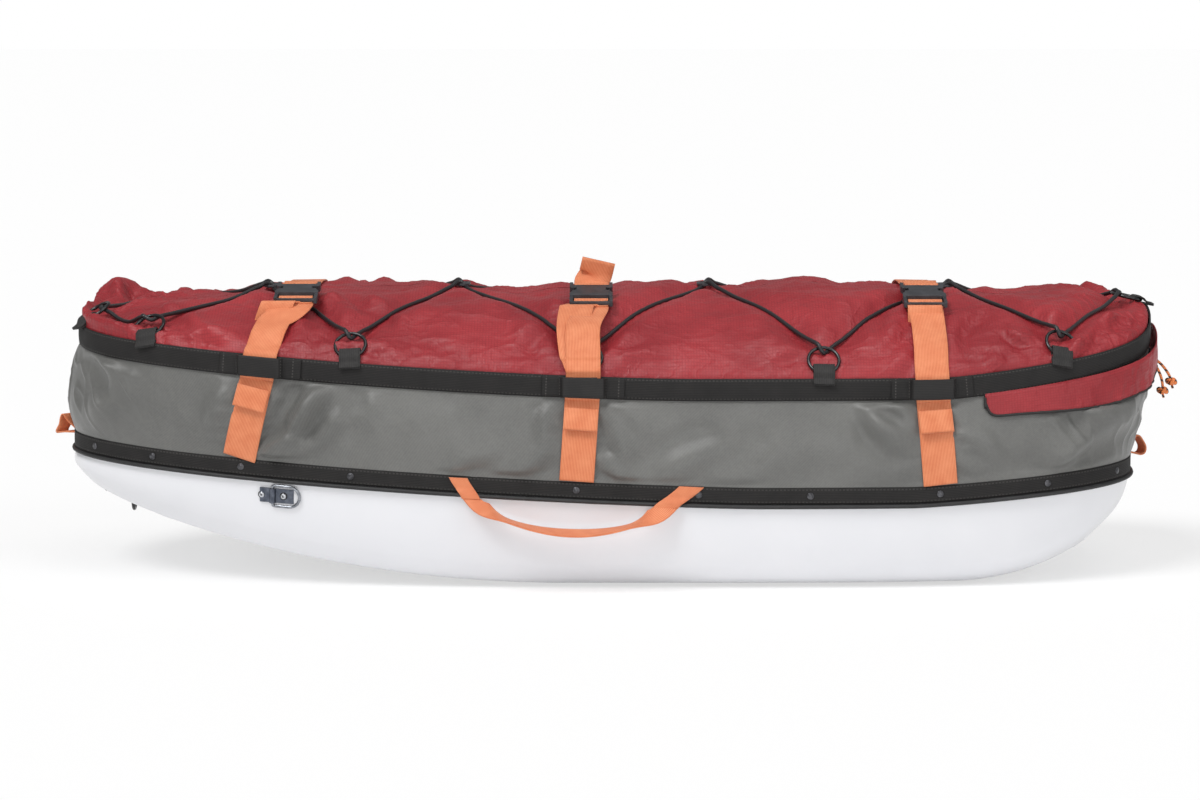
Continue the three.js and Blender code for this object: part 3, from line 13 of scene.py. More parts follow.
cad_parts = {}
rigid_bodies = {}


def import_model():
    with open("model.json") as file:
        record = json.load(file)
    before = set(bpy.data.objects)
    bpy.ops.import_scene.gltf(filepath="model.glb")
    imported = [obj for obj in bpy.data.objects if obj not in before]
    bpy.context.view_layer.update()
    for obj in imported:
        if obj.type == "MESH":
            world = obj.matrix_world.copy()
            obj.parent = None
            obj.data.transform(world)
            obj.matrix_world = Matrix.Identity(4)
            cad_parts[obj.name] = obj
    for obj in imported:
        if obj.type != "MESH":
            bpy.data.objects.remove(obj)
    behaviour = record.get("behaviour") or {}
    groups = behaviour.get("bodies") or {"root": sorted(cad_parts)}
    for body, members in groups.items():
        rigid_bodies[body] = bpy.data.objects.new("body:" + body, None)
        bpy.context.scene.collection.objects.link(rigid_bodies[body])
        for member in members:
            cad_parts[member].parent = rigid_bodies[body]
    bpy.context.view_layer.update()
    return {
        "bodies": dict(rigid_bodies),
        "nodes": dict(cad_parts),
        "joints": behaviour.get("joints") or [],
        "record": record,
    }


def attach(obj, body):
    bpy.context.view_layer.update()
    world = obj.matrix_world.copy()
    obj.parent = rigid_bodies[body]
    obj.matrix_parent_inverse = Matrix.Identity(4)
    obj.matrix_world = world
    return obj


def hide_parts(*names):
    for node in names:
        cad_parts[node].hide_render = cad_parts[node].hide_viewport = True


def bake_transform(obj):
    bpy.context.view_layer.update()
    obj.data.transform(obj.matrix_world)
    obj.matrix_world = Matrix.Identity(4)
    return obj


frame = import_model()
mm = 0.001

# Camera

view_elevation = math.radians(6.5)
view_distance = 4500
view_centre = np.array([-8, 0, 194.4])
lens_length = 112.83


def add_camera():
    data = bpy.data.cameras.new("camera")
    data.lens = lens_length
    data.sensor_width = 36
    data.clip_end = 60
    camera = bpy.data.objects.new("camera", data)
    away = np.array([0, -math.cos(view_elevation), math.sin(view_elevation)])
    camera.location = (view_centre + away * view_distance) * mm
    camera.rotation_euler = (math.pi / 2 - view_elevation, 0, 0)
    bpy.context.scene.collection.objects.link(camera)
    bpy.context.scene.camera = camera


add_camera()

# Sizes, as in the CAD part

half_steps = 18
widest_x = 40
fit_gap = 0.35
webbing_thickness = 1.8
cloth_thickness = 1.6
hull_bow_x = -632
hull_stern_x = 618
hull_length = hull_stern_x - hull_bow_x
hull_half_width = 240
keel_bow_x = -618
keel_stern_x = 582
keel_half_width = 198
chine_round = 14
chine_height = 17
side_bulge = 5
spine_inset = 90
bead_height = 5
bead_depth = 5.5
lower_band_height = 19
bag_bow_x = -626
bag_stern_x = 641
bag_half_width = 234
top_band_height = 25
skirt_bulge = 5
skirt_bow_bulge = 9
bow_bulge_reach = 150
cover_spine_inset = 120
dome_power = 3.2
strap_width = 40
strap_lift = 1.5
cord_tunnel = 8.4
wall_share = 0.85
buckle_side_share = 0.5
hem_out = fit_gap + cloth_thickness
lower_band_out = hem_out + fit_gap
band_out = fit_gap + webbing_thickness
cover_out = -cloth_thickness - fit_gap


def mix(a, b, share):
    return a + (b - a) * share


def clamp(value, low=0.0, high=1.0):
    return np.minimum(np.maximum(value, low), high)


def smooth(value, low=0.0, high=1.0):
    t = clamp((value - low) / (high - low))
    return t * t * (3 - 2 * t)


def bump(away, width):
    return np.exp(-((away / width) ** 2))


def along_hull(share):
    return hull_bow_x + share * hull_length


def unit(vector):
    return vector / np.maximum(np.linalg.norm(vector, axis=-1, keepdims=True), 1e-9)


class Outline:
    """A boat-shaped outline by place, round by the near side: 0 is mid stern, 18 mid bow and 36 mid stern
    again."""

    def __init__(self, bow, stern, half, bow_power, stern_power, pinch=0):
        angle = np.linspace(0, math.pi, 901)
        astern = np.cos(angle) >= 0
        reach = np.where(astern, stern - widest_x, widest_x - bow)
        power = np.where(astern, stern_power, bow_power)
        ahead = np.abs(np.cos(angle)) / reach
        radius = (ahead**power + (np.sin(angle) / half) ** power) ** (-1 / power)
        self.y = -radius * np.sin(angle)
        pull = np.where(astern, 0, pinch * bump(self.y, 50))
        self.x = widest_x + radius * np.cos(angle) + pull
        steps = np.stack([np.diff(self.x), np.diff(self.y)], -1)
        length = np.linalg.norm(steps, axis=1)
        heading = np.arctan2(steps[:, 1], steps[:, 0]) % (2 * math.pi)
        turn = np.concatenate([[0], np.abs(np.diff(heading)) % math.pi])
        measure = np.concatenate([[0], np.cumsum(length / length.sum() + 1.1 * turn / math.pi)])
        self.place = measure / measure[-1] * half_steps

    def xy(self, place):
        place = np.asarray(place, float) % (2 * half_steps)
        far = place > half_steps
        near_place = np.where(far, 2 * half_steps - place, place)
        x = np.interp(near_place, self.place, self.x)
        y = np.interp(near_place, self.place, self.y)
        return x, np.where(far, -y, y)

    def at(self, place, step=0.12):
        """x, y and the outward normal's x and y."""
        x, y = self.xy(place)
        before, after = self.xy(place - step), self.xy(place + step)
        out = unit(np.stack([before[1] - after[1], after[0] - before[0]], -1))
        return x, y, out[..., 0], out[..., 1]

    def place_of(self, x):
        """The place on the near side where the outline reaches x."""
        return np.interp(-np.asarray(x, float), -self.x, self.place)

    def coarse(self, x):
        """x, y and the outward normal on the CAD part's straight-sided outline, near side."""
        corners = np.stack(self.xy(np.arange(-1, half_steps + 2)), -1)
        heading = unit(corners[2:] - corners[:-2])
        x = clamp(x, corners[-2, 0], corners[1, 0])
        along = -corners[1:-1, 0]
        y, out_x, out_y = (np.interp(-x, along, v) for v in (corners[1:-1, 1], -heading[:, 1], heading[:, 0]))
        size = math.hypot(out_x, out_y)
        return np.array([x, y, out_x / size, out_y / size])


rim = Outline(hull_bow_x, hull_stern_x, hull_half_width, 2.5, 3.5)
keel = Outline(keel_bow_x, keel_stern_x, keel_half_width, 2.5, 3.5)
bag = Outline(bag_bow_x, bag_stern_x, bag_half_width, 3, 3.2, pinch=14)

# Where each line is level, how high it is there, and how far it rises at the bow and the stern.
rim_level_x, rim_height, rim_bow_rise, rim_stern_rise = (174, 350), 97, 43, 19
keel_level_x, keel_height, keel_bow_rise, keel_stern_rise = (-50, 400), 4.35, 101, 50
band_level_x, band_height, band_bow_rise, band_stern_rise = (100, 380), 245, 44, 27
band_stern_run = 212
band_bow_lift, band_stern_lift, band_lift_width = 14, 30, 95
crest_height, crest_fall = 326, 16


def beyond(x, level, bow_x, stern_x):
    """How far x lies from a level stretch toward the bow and toward the stern, as shares of the way."""
    ahead = np.maximum(0, (level[0] - x) / (level[0] - bow_x))
    return ahead, np.maximum(0, (x - level[1]) / (stern_x - level[1]))


def rim_z(x):
    ahead, astern = beyond(x, rim_level_x, hull_bow_x, hull_stern_x)
    return rim_height + rim_bow_rise * ahead**1.35 + rim_stern_rise * astern**1.2


def keel_z(x):
    ahead, astern = beyond(x, keel_level_x, keel_bow_x, keel_stern_x)
    return keel_height + keel_bow_rise * ahead**2 + keel_stern_rise * astern**2


def band_z(x, y):
    ahead, astern = beyond(x, band_level_x, bag_bow_x, band_level_x[1] + band_stern_run)
    ends = np.minimum(1, np.maximum(ahead, astern)) ** 4
    lift = np.where(x > band_level_x[1], band_stern_lift, band_bow_lift) * bump(y, band_lift_width) * ends
    return band_height + band_bow_rise * ahead**1.5 + band_stern_rise * astern**1.3 + lift


def lower_band_z(x):
    return rim_z(x) + bead_height + fit_gap


def lower_band_top_z(x):
    return lower_band_z(x) + lower_band_height


def band_low_z(x, y):
    return band_z(x, y) - top_band_height


def around(line, place, out, z_of):
    """Points a distance out of an outline, at the height that z_of gives."""
    x, y, out_x, out_y = line.at(place)
    z = z_of(x, y) + 0 * x
    return np.stack([x + out_x * out, y + out_y * out, z], -1)


def side_point(place, share, inset=0):
    """The hull's side, a share of the way from its chine to its rim."""
    x, y, out_x, out_y = rim.at(place)
    foot_x, foot_y, foot_out_x, foot_out_y = keel.at(place)
    low = keel_z(foot_x) + chine_height
    out = chine_round * (1 - share) ** 2
    lean = share**0.7
    swell = side_bulge * np.sin(math.pi * share) - inset
    px = mix(foot_x, x, lean) + foot_out_x * out + out_x * swell
    py = mix(foot_y, y, lean) + foot_out_y * out + out_y * swell
    return np.stack([px, py, mix(low, rim_z(x), share)], -1)


def skirt_point(place, share, back=0):
    """The skirt's outside, a share of the way from the lower band's top to the top band's foot."""
    x, y, out_x, out_y = rim.at(place)
    top_x, top_y, _, _ = bag.at(place)
    bow = smooth(hull_bow_x + bow_bulge_reach - x, 0, bow_bulge_reach)
    swell = (skirt_bulge + skirt_bow_bulge * bow) * np.sin(math.pi * share)
    swell = swell + mix(hem_out, 0, share) - back
    px = mix(x, top_x, share) + out_x * swell
    py = mix(y, top_y, share) + out_y * swell
    z = mix(lower_band_top_z(x) + fit_gap * 3, band_low_z(top_x, top_y) - fit_gap, share)
    return np.stack([px, py, z], -1)


def crest_at(x):
    middle = (bag_bow_x + bag_stern_x) / 2
    half = (bag_stern_x - bag_bow_x) / 2
    return crest_height - crest_fall * np.abs((x - middle) / half) ** 5


# The place of each lump's middle, its size and its rise.
cover_lumps = [(-600, 110, 38, 28), (-600, -110, 38, 6), (607, 110, 38, 14)]


def cover_from(x, y, out_x, out_y, share):
    """The cover's outside, a share of the way from a place on the bag's edge to the spine."""
    start_x, start_y = x + out_x * cover_out, y + out_y * cover_out
    spine_x = clamp(start_x, bag_bow_x + cover_spine_inset, bag_stern_x - cover_spine_inset)
    px, py = mix(start_x, spine_x, share), mix(start_y, 0, share)
    low = band_z(x, y)
    dome = 1 - (1 - share) ** dome_power
    lump = sum(rise * bump(np.hypot(px - at_x, py - at_y), size) for at_x, at_y, size, rise in cover_lumps)
    lump = lump * (1 - (1 - share) ** 8) * (1 - share**2)
    return np.stack([px, py, low + (crest_at(px) - low) * dome + lump], -1)


def cover_point(place, share):
    return cover_from(*bag.at(place), share)


# Meshes and pieces


def new_mesh(points, faces, uvs=None):
    mesh = bpy.data.meshes.new("mesh")
    mesh.from_pydata((np.asarray(points).reshape(-1, 3) * mm).tolist(), [], faces)
    if uvs is not None:
        layer = mesh.uv_layers.new(name="cut")
        layer.data.foreach_set("uv", np.asarray(uvs, np.float32).reshape(-1))
    mesh.polygons.foreach_set("use_smooth", [True] * len(mesh.polygons))
    mesh.update()
    return mesh


def piece(name, mesh, look, body="sled", stands_for=()):
    """A named piece of the sled, in its finish, that rides on a body and may stand for CAD nodes."""
    mesh.name = name
    made = bpy.data.objects.new(name, mesh)
    bpy.context.scene.collection.objects.link(made)
    mesh.materials.clear()
    mesh.materials.append(look)
    if body:
        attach(made, body)
    if stands_for:
        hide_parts(*stands_for)
    return made


def spread(points, axis):
    """How far each row or column lies along the sheet, in metres."""
    steps = np.linalg.norm(np.diff(points, axis=axis), axis=-1).mean(axis=1 - axis)
    return np.concatenate([[0], np.cumsum(steps)]) * mm


def sheet_mesh(points, wrap=False, hollow=False):
    """A surface through rows of points that faces rows x columns. wrap joins the last column to the
    first, and hollow the last row to the first."""
    rows, columns = points.shape[:2]
    whole = np.concatenate([points, points[:, :1]], 1) if wrap else points
    whole = np.concatenate([whole, whole[:1]]) if hollow else whole
    u, v = spread(whole, 1), spread(whole, 0)
    faces, uvs = [], []
    for r in range(whole.shape[0] - 1):
        above = (r + 1) % rows
        for c in range(whole.shape[1] - 1):
            after = (c + 1) % columns
            faces.append((r * columns + c, above * columns + c, above * columns + after, r * columns + after))
            uvs += [(u[c], v[r]), (u[c], v[r + 1]), (u[c + 1], v[r + 1]), (u[c + 1], v[r])]
    return new_mesh(points, faces, uvs)


def declare_sheet(points, cut=None):
    """Works out a cloth's flat width and length, or else the lengths of its rows and columns, and
    its own area, and does nothing more with them."""
    if cut is None:
        cut = [np.linalg.norm(np.diff(points, axis=a), axis=-1).sum(axis=a).max() for a in (0, 1)]
    corner, down, along = points[:-1, :-1], points[1:, :-1], points[:-1, 1:]
    area = np.linalg.norm(np.cross(down - corner, along - corner), axis=-1).sum() * mm**2


def cover_cut(points):
    """The cover's width over the middle and its length over the crest, measured along its surface."""
    reach = np.linalg.norm(np.diff(points, axis=0), axis=-1).sum(axis=0)
    edge, spine = points[0], points[-1]
    bow, stern = np.argmin(edge[:, 0]), np.argmax(edge[:, 0])
    near_middle = np.abs(edge[:, 0]) < 300
    length = reach[bow] + reach[stern] + np.linalg.norm(spine[stern] - spine[bow])
    return 2 * reach[near_middle].max(), length


def facing(points, wrap=True):
    """The outward direction at each point of rows of points."""
    across = np.roll(points, -1, 1) - np.roll(points, 1, 1) if wrap else np.gradient(points, axis=1)
    return unit(np.cross(np.gradient(points, axis=0), across))


def thicken(made, thickness):
    """Gives a sheet its thickness, inward from the surface that was drawn."""
    solid = made.modifiers.new("thickness", "SOLIDIFY")
    solid.thickness = thickness * mm
    solid.offset = -1
    solid.use_even_offset = True


def swept_mesh(middle, side, up, section, wrap=False):
    """A section of (side, up) points carried along a line. side and up give its axes at each step."""
    middle, side, up = (np.asarray(a, float) for a in (middle, side, up))
    section = np.asarray(section, float)
    if section.ndim == 2:
        section = np.broadcast_to(section, (len(middle), *section.shape))
    points = middle[:, None] + side[:, None] * section[..., :1] + up[:, None] * section[..., 1:]
    count, corners = points.shape[:2]
    ring = np.concatenate([points, points[:, :1]], 1)
    v = spread(ring, 1)
    line = np.concatenate([middle, middle[:1]]) if wrap else middle
    u = np.concatenate([[0], np.cumsum(np.linalg.norm(np.diff(line, axis=0), axis=1))]) * mm
    faces, uvs = [], []
    for k in range(count if wrap else count - 1):
        after = (k + 1) % count
        for c in range(corners):
            d = (c + 1) % corners
            faces.append((k * corners + c, k * corners + d, after * corners + d, after * corners + c))
            uvs += [(u[k], v[c]), (u[k], v[c + 1]), (u[k + 1], v[c + 1]), (u[k + 1], v[c])]
    if not wrap:
        last = (count - 1) * corners
        faces += [tuple(reversed(range(corners))), tuple(range(last, last + corners))]
        uvs += [(0, v[c]) for c in reversed(range(corners))] + [(u[-1], v[c]) for c in range(corners)]
    return new_mesh(points, faces, uvs)


def framed(points, wrap=False):
    """The heading at each point of a line."""
    if wrap:
        return unit(np.roll(points, -1, 0) - np.roll(points, 1, 0))
    return unit(np.gradient(points, axis=0))


def eased(points, steps=6):
    """A smooth line through points, with steps between each two."""
    points = np.asarray(points, float)
    padded = np.concatenate([[2 * points[0] - points[1]], points, [2 * points[-1] - points[-2]]])
    t = np.linspace(0, 1, steps, endpoint=False)[:, None]
    line = []
    for a, b, c, d in zip(padded, padded[1:], padded[2:], padded[3:]):
        square, cube = 2 * a - 5 * b + 4 * c - d, 3 * b - 3 * c + d - a
        line.append(0.5 * (2 * b + (c - a) * t + square * t**2 + cube * t**3))
    return np.concatenate([*line, points[-1:]])


def ring_section(radius, sides=12):
    angle = np.linspace(0, 2 * math.pi, sides, endpoint=False)
    return np.stack([np.cos(angle), np.sin(angle)], -1) * radius


def band_section(width, thickness, columns=7):
    """The flat section of a webbing, with rounded edges."""
    across = np.linspace(-1, 1, columns) * (width - thickness) / 2
    edge = (width - thickness * 0.4) / 2
    face, corner = thickness / 2, thickness * 0.2
    top = [*[(a, face) for a in across], (edge, corner)]
    bottom = [(edge, -corner), *[(a, -face) for a in across[::-1]], (-edge, -corner)]
    return np.array([*top, *bottom, (-edge, corner)])


def tube_mesh(points, radius, sides=12, wrap=False):
    """A round cord or wire along a line, without twist."""
    points = np.asarray(points, float)
    heading = framed(points, wrap)
    side = np.zeros_like(points)
    start = np.array([0, 0, 1.0]) if abs(heading[0][2]) < 0.9 else np.array([1.0, 0, 0])
    for k, direction in enumerate(heading):
        start = unit(start - direction * np.dot(start, direction))
        side[k] = start
    up = np.cross(heading, side)
    section = ring_section(1, sides)
    radii = np.broadcast_to(np.asarray(radius, float), (len(points),))
    return swept_mesh(points, side, up, section[None] * radii[:, None, None], wrap)


def ribbon_mesh(middle, side, width, thickness=webbing_thickness, wrap=False, sheared=False):
    """Webbing along a line, with side across it. Sheared webbing keeps its side, and so leans."""
    heading = framed(middle, wrap)
    if not sheared:
        side = side - heading * np.sum(side * heading, -1, keepdims=True)
    side = unit(side)
    up = unit(np.cross(side, heading))
    return swept_mesh(middle, side, up, band_section(width, thickness), wrap)


def waves(points, size, seed=0):
    """Soft noise from -1 to 1 at each point."""
    flat = np.asarray(points, float).reshape(-1, 3) / size + seed * 17.3
    values = [noise.noise(Vector(p)) for p in flat]
    return np.array(values).reshape(np.asarray(points).shape[:-1]) * 1.6


# Looks


class Wire:
    """A shader value that takes part in plain sums."""

    def __init__(self, socket, look):
        self.socket = socket
        self.look = look

    def maths(self, operation, *others):
        return self.look.node("ShaderNodeMath", {"operation": operation}, dict(enumerate([self, *others])))

    def __add__(self, other):
        return self.maths("ADD", other)

    __radd__ = __add__

    def __sub__(self, other):
        return self.maths("SUBTRACT", other)

    def __rsub__(self, other):
        return self * -1 + other

    def __mul__(self, other):
        return self.maths("MULTIPLY", other)

    __rmul__ = __mul__

    def __pow__(self, other):
        return self.maths("POWER", other)


class Look:
    """One finish. fixed holds what is the same all over the surface."""

    def __init__(self, name, fixed):
        self.material = bpy.data.materials.new(name)
        self.material.use_nodes = True
        self.tree = self.material.node_tree
        self.surface = self.tree.nodes["Principled BSDF"]
        for socket, value in fixed.items():
            self.surface.inputs[socket].default_value = value

    def node(self, kind, settings=None, inputs=None, output=0):
        made = self.tree.nodes.new(kind)
        for key, value in (settings or {}).items():
            setattr(made, key, value)
        for key, value in (inputs or {}).items():
            if isinstance(value, Wire):
                self.tree.links.new(value.socket, made.inputs[key])
            else:
                made.inputs[key].default_value = value
        return Wire(made.outputs[output], self)

    def feed(self, socket, wire):
        self.tree.links.new(wire.socket, self.surface.inputs[socket])

    def seen_white(self, share):
        """The camera, metal and glass see this share of the surface as plain white."""
        ways = self.node("ShaderNodeLightPath").socket.node.outputs
        kinds = ("Camera", "Glossy", "Transmission")
        camera, glossy, through = (Wire(ways[f"Is {kind} Ray"], self) for kind in kinds)
        seen = camera.maths("MAXIMUM", glossy).maths("MAXIMUM", through)
        white = self.node("ShaderNodeEmission", inputs={"Color": (1, 1, 1, 1), "Strength": 1.0})
        shaded = Wire(self.surface.outputs[0], self)
        mixed = self.node("ShaderNodeMixShader", inputs={0: seen * share, 1: shaded, 2: white})
        self.tree.links.new(mixed.socket, self.tree.nodes["Material Output"].inputs["Surface"])

    def parts(self, vector):
        """The x, y and z of a vector."""
        made = self.node("ShaderNodeSeparateXYZ", inputs={0: vector}).socket.node
        return [Wire(output, self) for output in made.outputs]

    def cut(self):
        """Metres along the piece, and across it."""
        return self.parts(self.node("ShaderNodeUVMap", {"uv_map": "cut"}))[:2]

    def place(self):
        return self.node("ShaderNodeTexCoord", output=3)

    def grain(self, size, detail=2.0, roughness=0.5, stretch=None):
        """Noise from 0 to 1 with features of that size in metres."""
        vector = self.place()
        if stretch:
            vector = self.node("ShaderNodeVectorMath", {"operation": "MULTIPLY"}, {0: vector, 1: stretch})
        inputs = {"Vector": vector, "Scale": 1 / size, "Detail": detail, "Roughness": roughness}
        return self.node("ShaderNodeTexNoise", inputs=inputs)

    def ridges(self, size, stretch):
        """Narrow creases from 0 to 1."""
        swing = (self.grain(size, 3, 0.5, stretch) * 2 - 1).maths("ABSOLUTE")
        return (1 - swing * 6).maths("MAXIMUM", 0) ** 1.5

    def wave(self, along, period, sharp=1.0, shift=0.0):
        """A ridge from 0 to 1 each period. A higher sharp makes it narrower."""
        swing = (along * (2 * math.pi / period) + shift).maths("COSINE") * 0.5 + 0.5
        return swing**sharp

    def between(self, value, low, high):
        inputs = {"Value": value, "From Min": low, "From Max": high}
        return self.node("ShaderNodeMapRange", {"interpolation_type": "SMOOTHSTEP"}, inputs)

    def blend(self, first, second, share):
        inputs = {0: share, 6: first, 7: second}
        return self.node("ShaderNodeMix", {"data_type": "RGBA"}, inputs, output=2)

    def relief(self, height, depth, strength=1.0):
        """Bumps that stand up by that depth in millimetres where the height is 1."""
        inputs = {"Strength": strength, "Distance": depth * mm, "Height": height}
        self.feed("Normal", self.node("ShaderNodeBump", inputs=inputs))


def shade(red, green, blue):
    """A colour as it is seen on a screen, from 0 to 255, as a shader takes it."""
    seen = (red / 255, green / 255, blue / 255)
    return tuple(c / 12.92 if c <= 0.04045 else ((c + 0.055) / 1.055) ** 2.4 for c in seen) + (1,)


def hull_look():
    look = Look("white_hull_plastic", {"Coat Weight": 0.25, "Coat Roughness": 0.12})
    soft = look.grain(0.09, 3)
    fine = look.grain(0.0016, 2)
    look.feed("Base Color", look.blend(shade(218, 219, 223), shade(228, 228, 231), soft))
    look.feed("Roughness", look.grain(0.02, 3) * 0.12 + 0.26)
    look.relief(fine * 0.35 + look.grain(0.012, 2), 0.06)
    return look.material


def webbing_look(name, dark, light, roughness, sheen, rib=0.0021, depth=0.28):
    """Woven tape: ribs along it, picks across it, and a little fuzz."""
    look = Look(name, {"Sheen Weight": sheen, "Sheen Roughness": 0.5})
    along, across = look.cut()
    ribs = look.wave(across, rib, 0.7)
    picks = look.wave(along, rib * 0.62, 0.7, 1.1)
    weave = ribs * 0.7 + ribs * picks * 0.3
    worn = look.grain(0.014, 3)
    look.feed("Base Color", look.blend(dark, light, look.between(weave * 0.55 + worn * 0.6, 0.25, 0.95)))
    look.feed("Roughness", look.grain(0.004, 2) * 0.12 + roughness)
    look.relief(weave + look.grain(0.0012, 2) * 0.35, depth, 0.8)
    return look.material


def stitched_look(name, dark, light, thread, low, high):
    """Woven tape whose two edges carry a line of stitches, at low and high across it."""
    look = Look(name, {"Specular IOR Level": 0.3})
    along, across = look.cut()
    ribs = look.wave(across, 0.0019, 0.7)
    picks = look.wave(along, 0.0014, 0.7, 0.6)
    weave = ribs * 0.6 + ribs * picks * 0.4
    gap = (across - low).maths("ABSOLUTE").maths("MINIMUM", (across - high).maths("ABSOLUTE"))
    line = 1 - look.between(gap, 0.0004, 0.0009)
    dashes = look.between(look.wave(along, 0.0042, 1.0), 0.3, 0.5)
    stitches = line * dashes
    worn = look.grain(0.02, 3)
    base = look.blend(dark, light, look.between(weave * 0.6 + worn * 0.5, 0.3, 1.0))
    look.feed("Base Color", look.blend(base, thread, stitches * 0.45))
    look.feed("Roughness", look.grain(0.005, 2) * 0.12 + 0.66)
    look.relief(weave * 0.5 + stitches - line * 0.7, 0.34, 0.8)
    return look.material


def box_stitched_look(name, dark, light, thread, length):
    """Plain tape whose two ends are sewn down by a box of stitches. length is that of the whole piece."""
    look = Look(name, {"Specular IOR Level": 0.3})
    along, across = look.cut()
    from_middle = (along - length / 2).maths("ABSOLUTE")
    weave = look.wave(across, 0.0019, 0.7) * 0.6 + look.wave(along, 0.0014, 0.7, 0.6) * 0.3
    patch = look.between(from_middle, 0.0265, 0.0275)
    side = (across - 0.012).maths("ABSOLUTE")
    edges = look.between(side, 0.0088, 0.0093) * (1 - look.between(side, 0.0101, 0.0106))
    ends = look.between(from_middle, 0.0442, 0.0447) * (1 - look.between(from_middle, 0.0455, 0.046))
    starts = 1 - look.between((from_middle - 0.0285).maths("ABSOLUTE"), 0.0005, 0.0009)
    dashes = look.between(look.wave(along, 0.0034, 1.0), 0.3, 0.6)
    rungs = look.between(look.wave(across, 0.0034, 1.0), 0.3, 0.6)
    stitches = patch * (edges * dashes).maths("MAXIMUM", ends.maths("MAXIMUM", starts) * rungs)
    base = look.blend(dark, light, look.between(weave * 0.6 + look.grain(0.02, 3) * 0.5, 0.3, 1.0))
    look.feed("Base Color", look.blend(base, thread, stitches * 0.75))
    look.feed("Roughness", patch * 0.2 + look.grain(0.005, 2) * 0.1 + 0.45)
    look.relief(weave * 0.5 + stitches * 0.6, 0.3, 0.8)
    return look.material


def skirt_look():
    """Coated polyester: a fine plain weave with a faint slant to it and soft scuffs."""
    look = Look("grey_bag_cloth", {"Sheen Weight": 0.12, "Sheen Roughness": 0.4, "Specular IOR Level": 0.5})
    along, across = look.cut()
    threads = look.wave(along, 0.00155, 0.8) * 0.5 + look.wave(across, 0.00155, 0.8) * 0.5
    slant = look.wave(along + across * 1.4, 0.0036, 1.0)
    cloudy = look.grain(0.16, 4, 0.6)
    speck = look.grain(0.003, 2)
    tone = look.between(cloudy * 0.7 + speck * 0.25 + slant * 0.1, 0.25, 0.85)
    look.feed("Base Color", look.blend(shade(88, 88, 86), shade(113, 113, 110), tone))
    look.feed("Roughness", look.grain(0.05, 3) * 0.14 + 0.34)
    look.relief(threads * 0.6 + slant * 0.25 + look.grain(0.02, 3) * 0.8, 0.3, 0.55)
    return look.material


def ripstop_look():
    """Thin coated cloth with a grid of heavier threads."""
    sheen = {"Sheen Weight": 0.17, "Sheen Roughness": 0.3, "Sheen Tint": shade(236, 132, 138)}
    look = Look("red_ripstop_cloth", {**sheen, "Specular IOR Level": 0.36})
    along, across = look.cut()
    grid = look.wave(along, 0.0034, 4).maths("MAXIMUM", look.wave(across, 0.0034, 4))
    threads = look.wave(along, 0.00085, 0.8) * look.wave(across, 0.00085, 0.8)
    cloudy = look.grain(0.1, 4, 0.6)
    tone = look.between(cloudy, 0.3, 0.75)
    base = look.blend(shade(140, 38, 44), shade(166, 52, 57), tone)
    look.feed("Base Color", look.blend(base, shade(112, 24, 34), grid * 0.35))
    look.feed("Roughness", look.grain(0.03, 3) * 0.12 + 0.37 + grid * 0.08)
    crumples = look.ridges(0.075, (0.7, 1.3, 1)) * 4 + look.ridges(0.034, (1.2, 0.8, 1)) * 2
    look.relief(grid * 0.25 + threads * 0.15 + look.grain(0.016, 4, 0.6) * 1.6 + crumples, 0.4, 0.6)
    return look.material


def braid_look(name, dark, light, flecks=None, gloss=0.5):
    """A braided cord: strands that cross on a slant."""
    look = Look(name, {"Sheen Weight": 0.03, "Sheen Roughness": 0.5})
    along, around = look.cut()
    strands = look.wave(along + around, 0.0024, 0.8).maths("MAXIMUM", look.wave(along - around, 0.0024, 0.8))
    base = look.blend(dark, light, strands)
    if flecks:
        spots = look.between(look.wave(along + around * 0.8, 0.0096, 1.0), 0.72, 0.86)
        base = look.blend(base, flecks, spots)
    look.feed("Base Color", base)
    look.feed("Roughness", look.grain(0.003, 2) * 0.1 + gloss)
    look.relief(strands, 0.2, 0.7)
    return look.material


def moulded_look(name, dark, light, roughness, fixed=None):
    """Moulded plastic or rubber with a spark-eroded grain and handling marks."""
    look = Look(name, {"Coat Weight": 0.05, **(fixed or {})})
    fine = look.grain(0.0009, 2)
    marks = look.grain(0.012, 4, 0.65)
    look.feed("Base Color", look.blend(dark, light, look.between(marks, 0.35, 0.8)))
    look.feed("Roughness", marks * 0.2 + roughness)
    look.relief(fine * 0.7 + marks * 0.4, 0.07, 0.8)
    return look.material


def metal_look(name, dark, light, roughness, metallic=1.0, coat=0.0):
    """Metal with fine drawn lines and blotches."""
    look = Look(name, {"Metallic": metallic, "Coat Weight": coat, "Coat Roughness": 0.1})
    blotch = look.grain(0.006, 4, 0.6)
    lines = look.grain(0.004, 3, 0.6, (1, 1, 14))
    look.feed("Base Color", look.blend(dark, light, look.between(blotch * 0.7 + lines * 0.3, 0.3, 0.75)))
    look.feed("Roughness", lines * 0.18 + roughness)
    look.relief(lines * 0.5 + blotch, 0.05, 0.7)
    return look.material


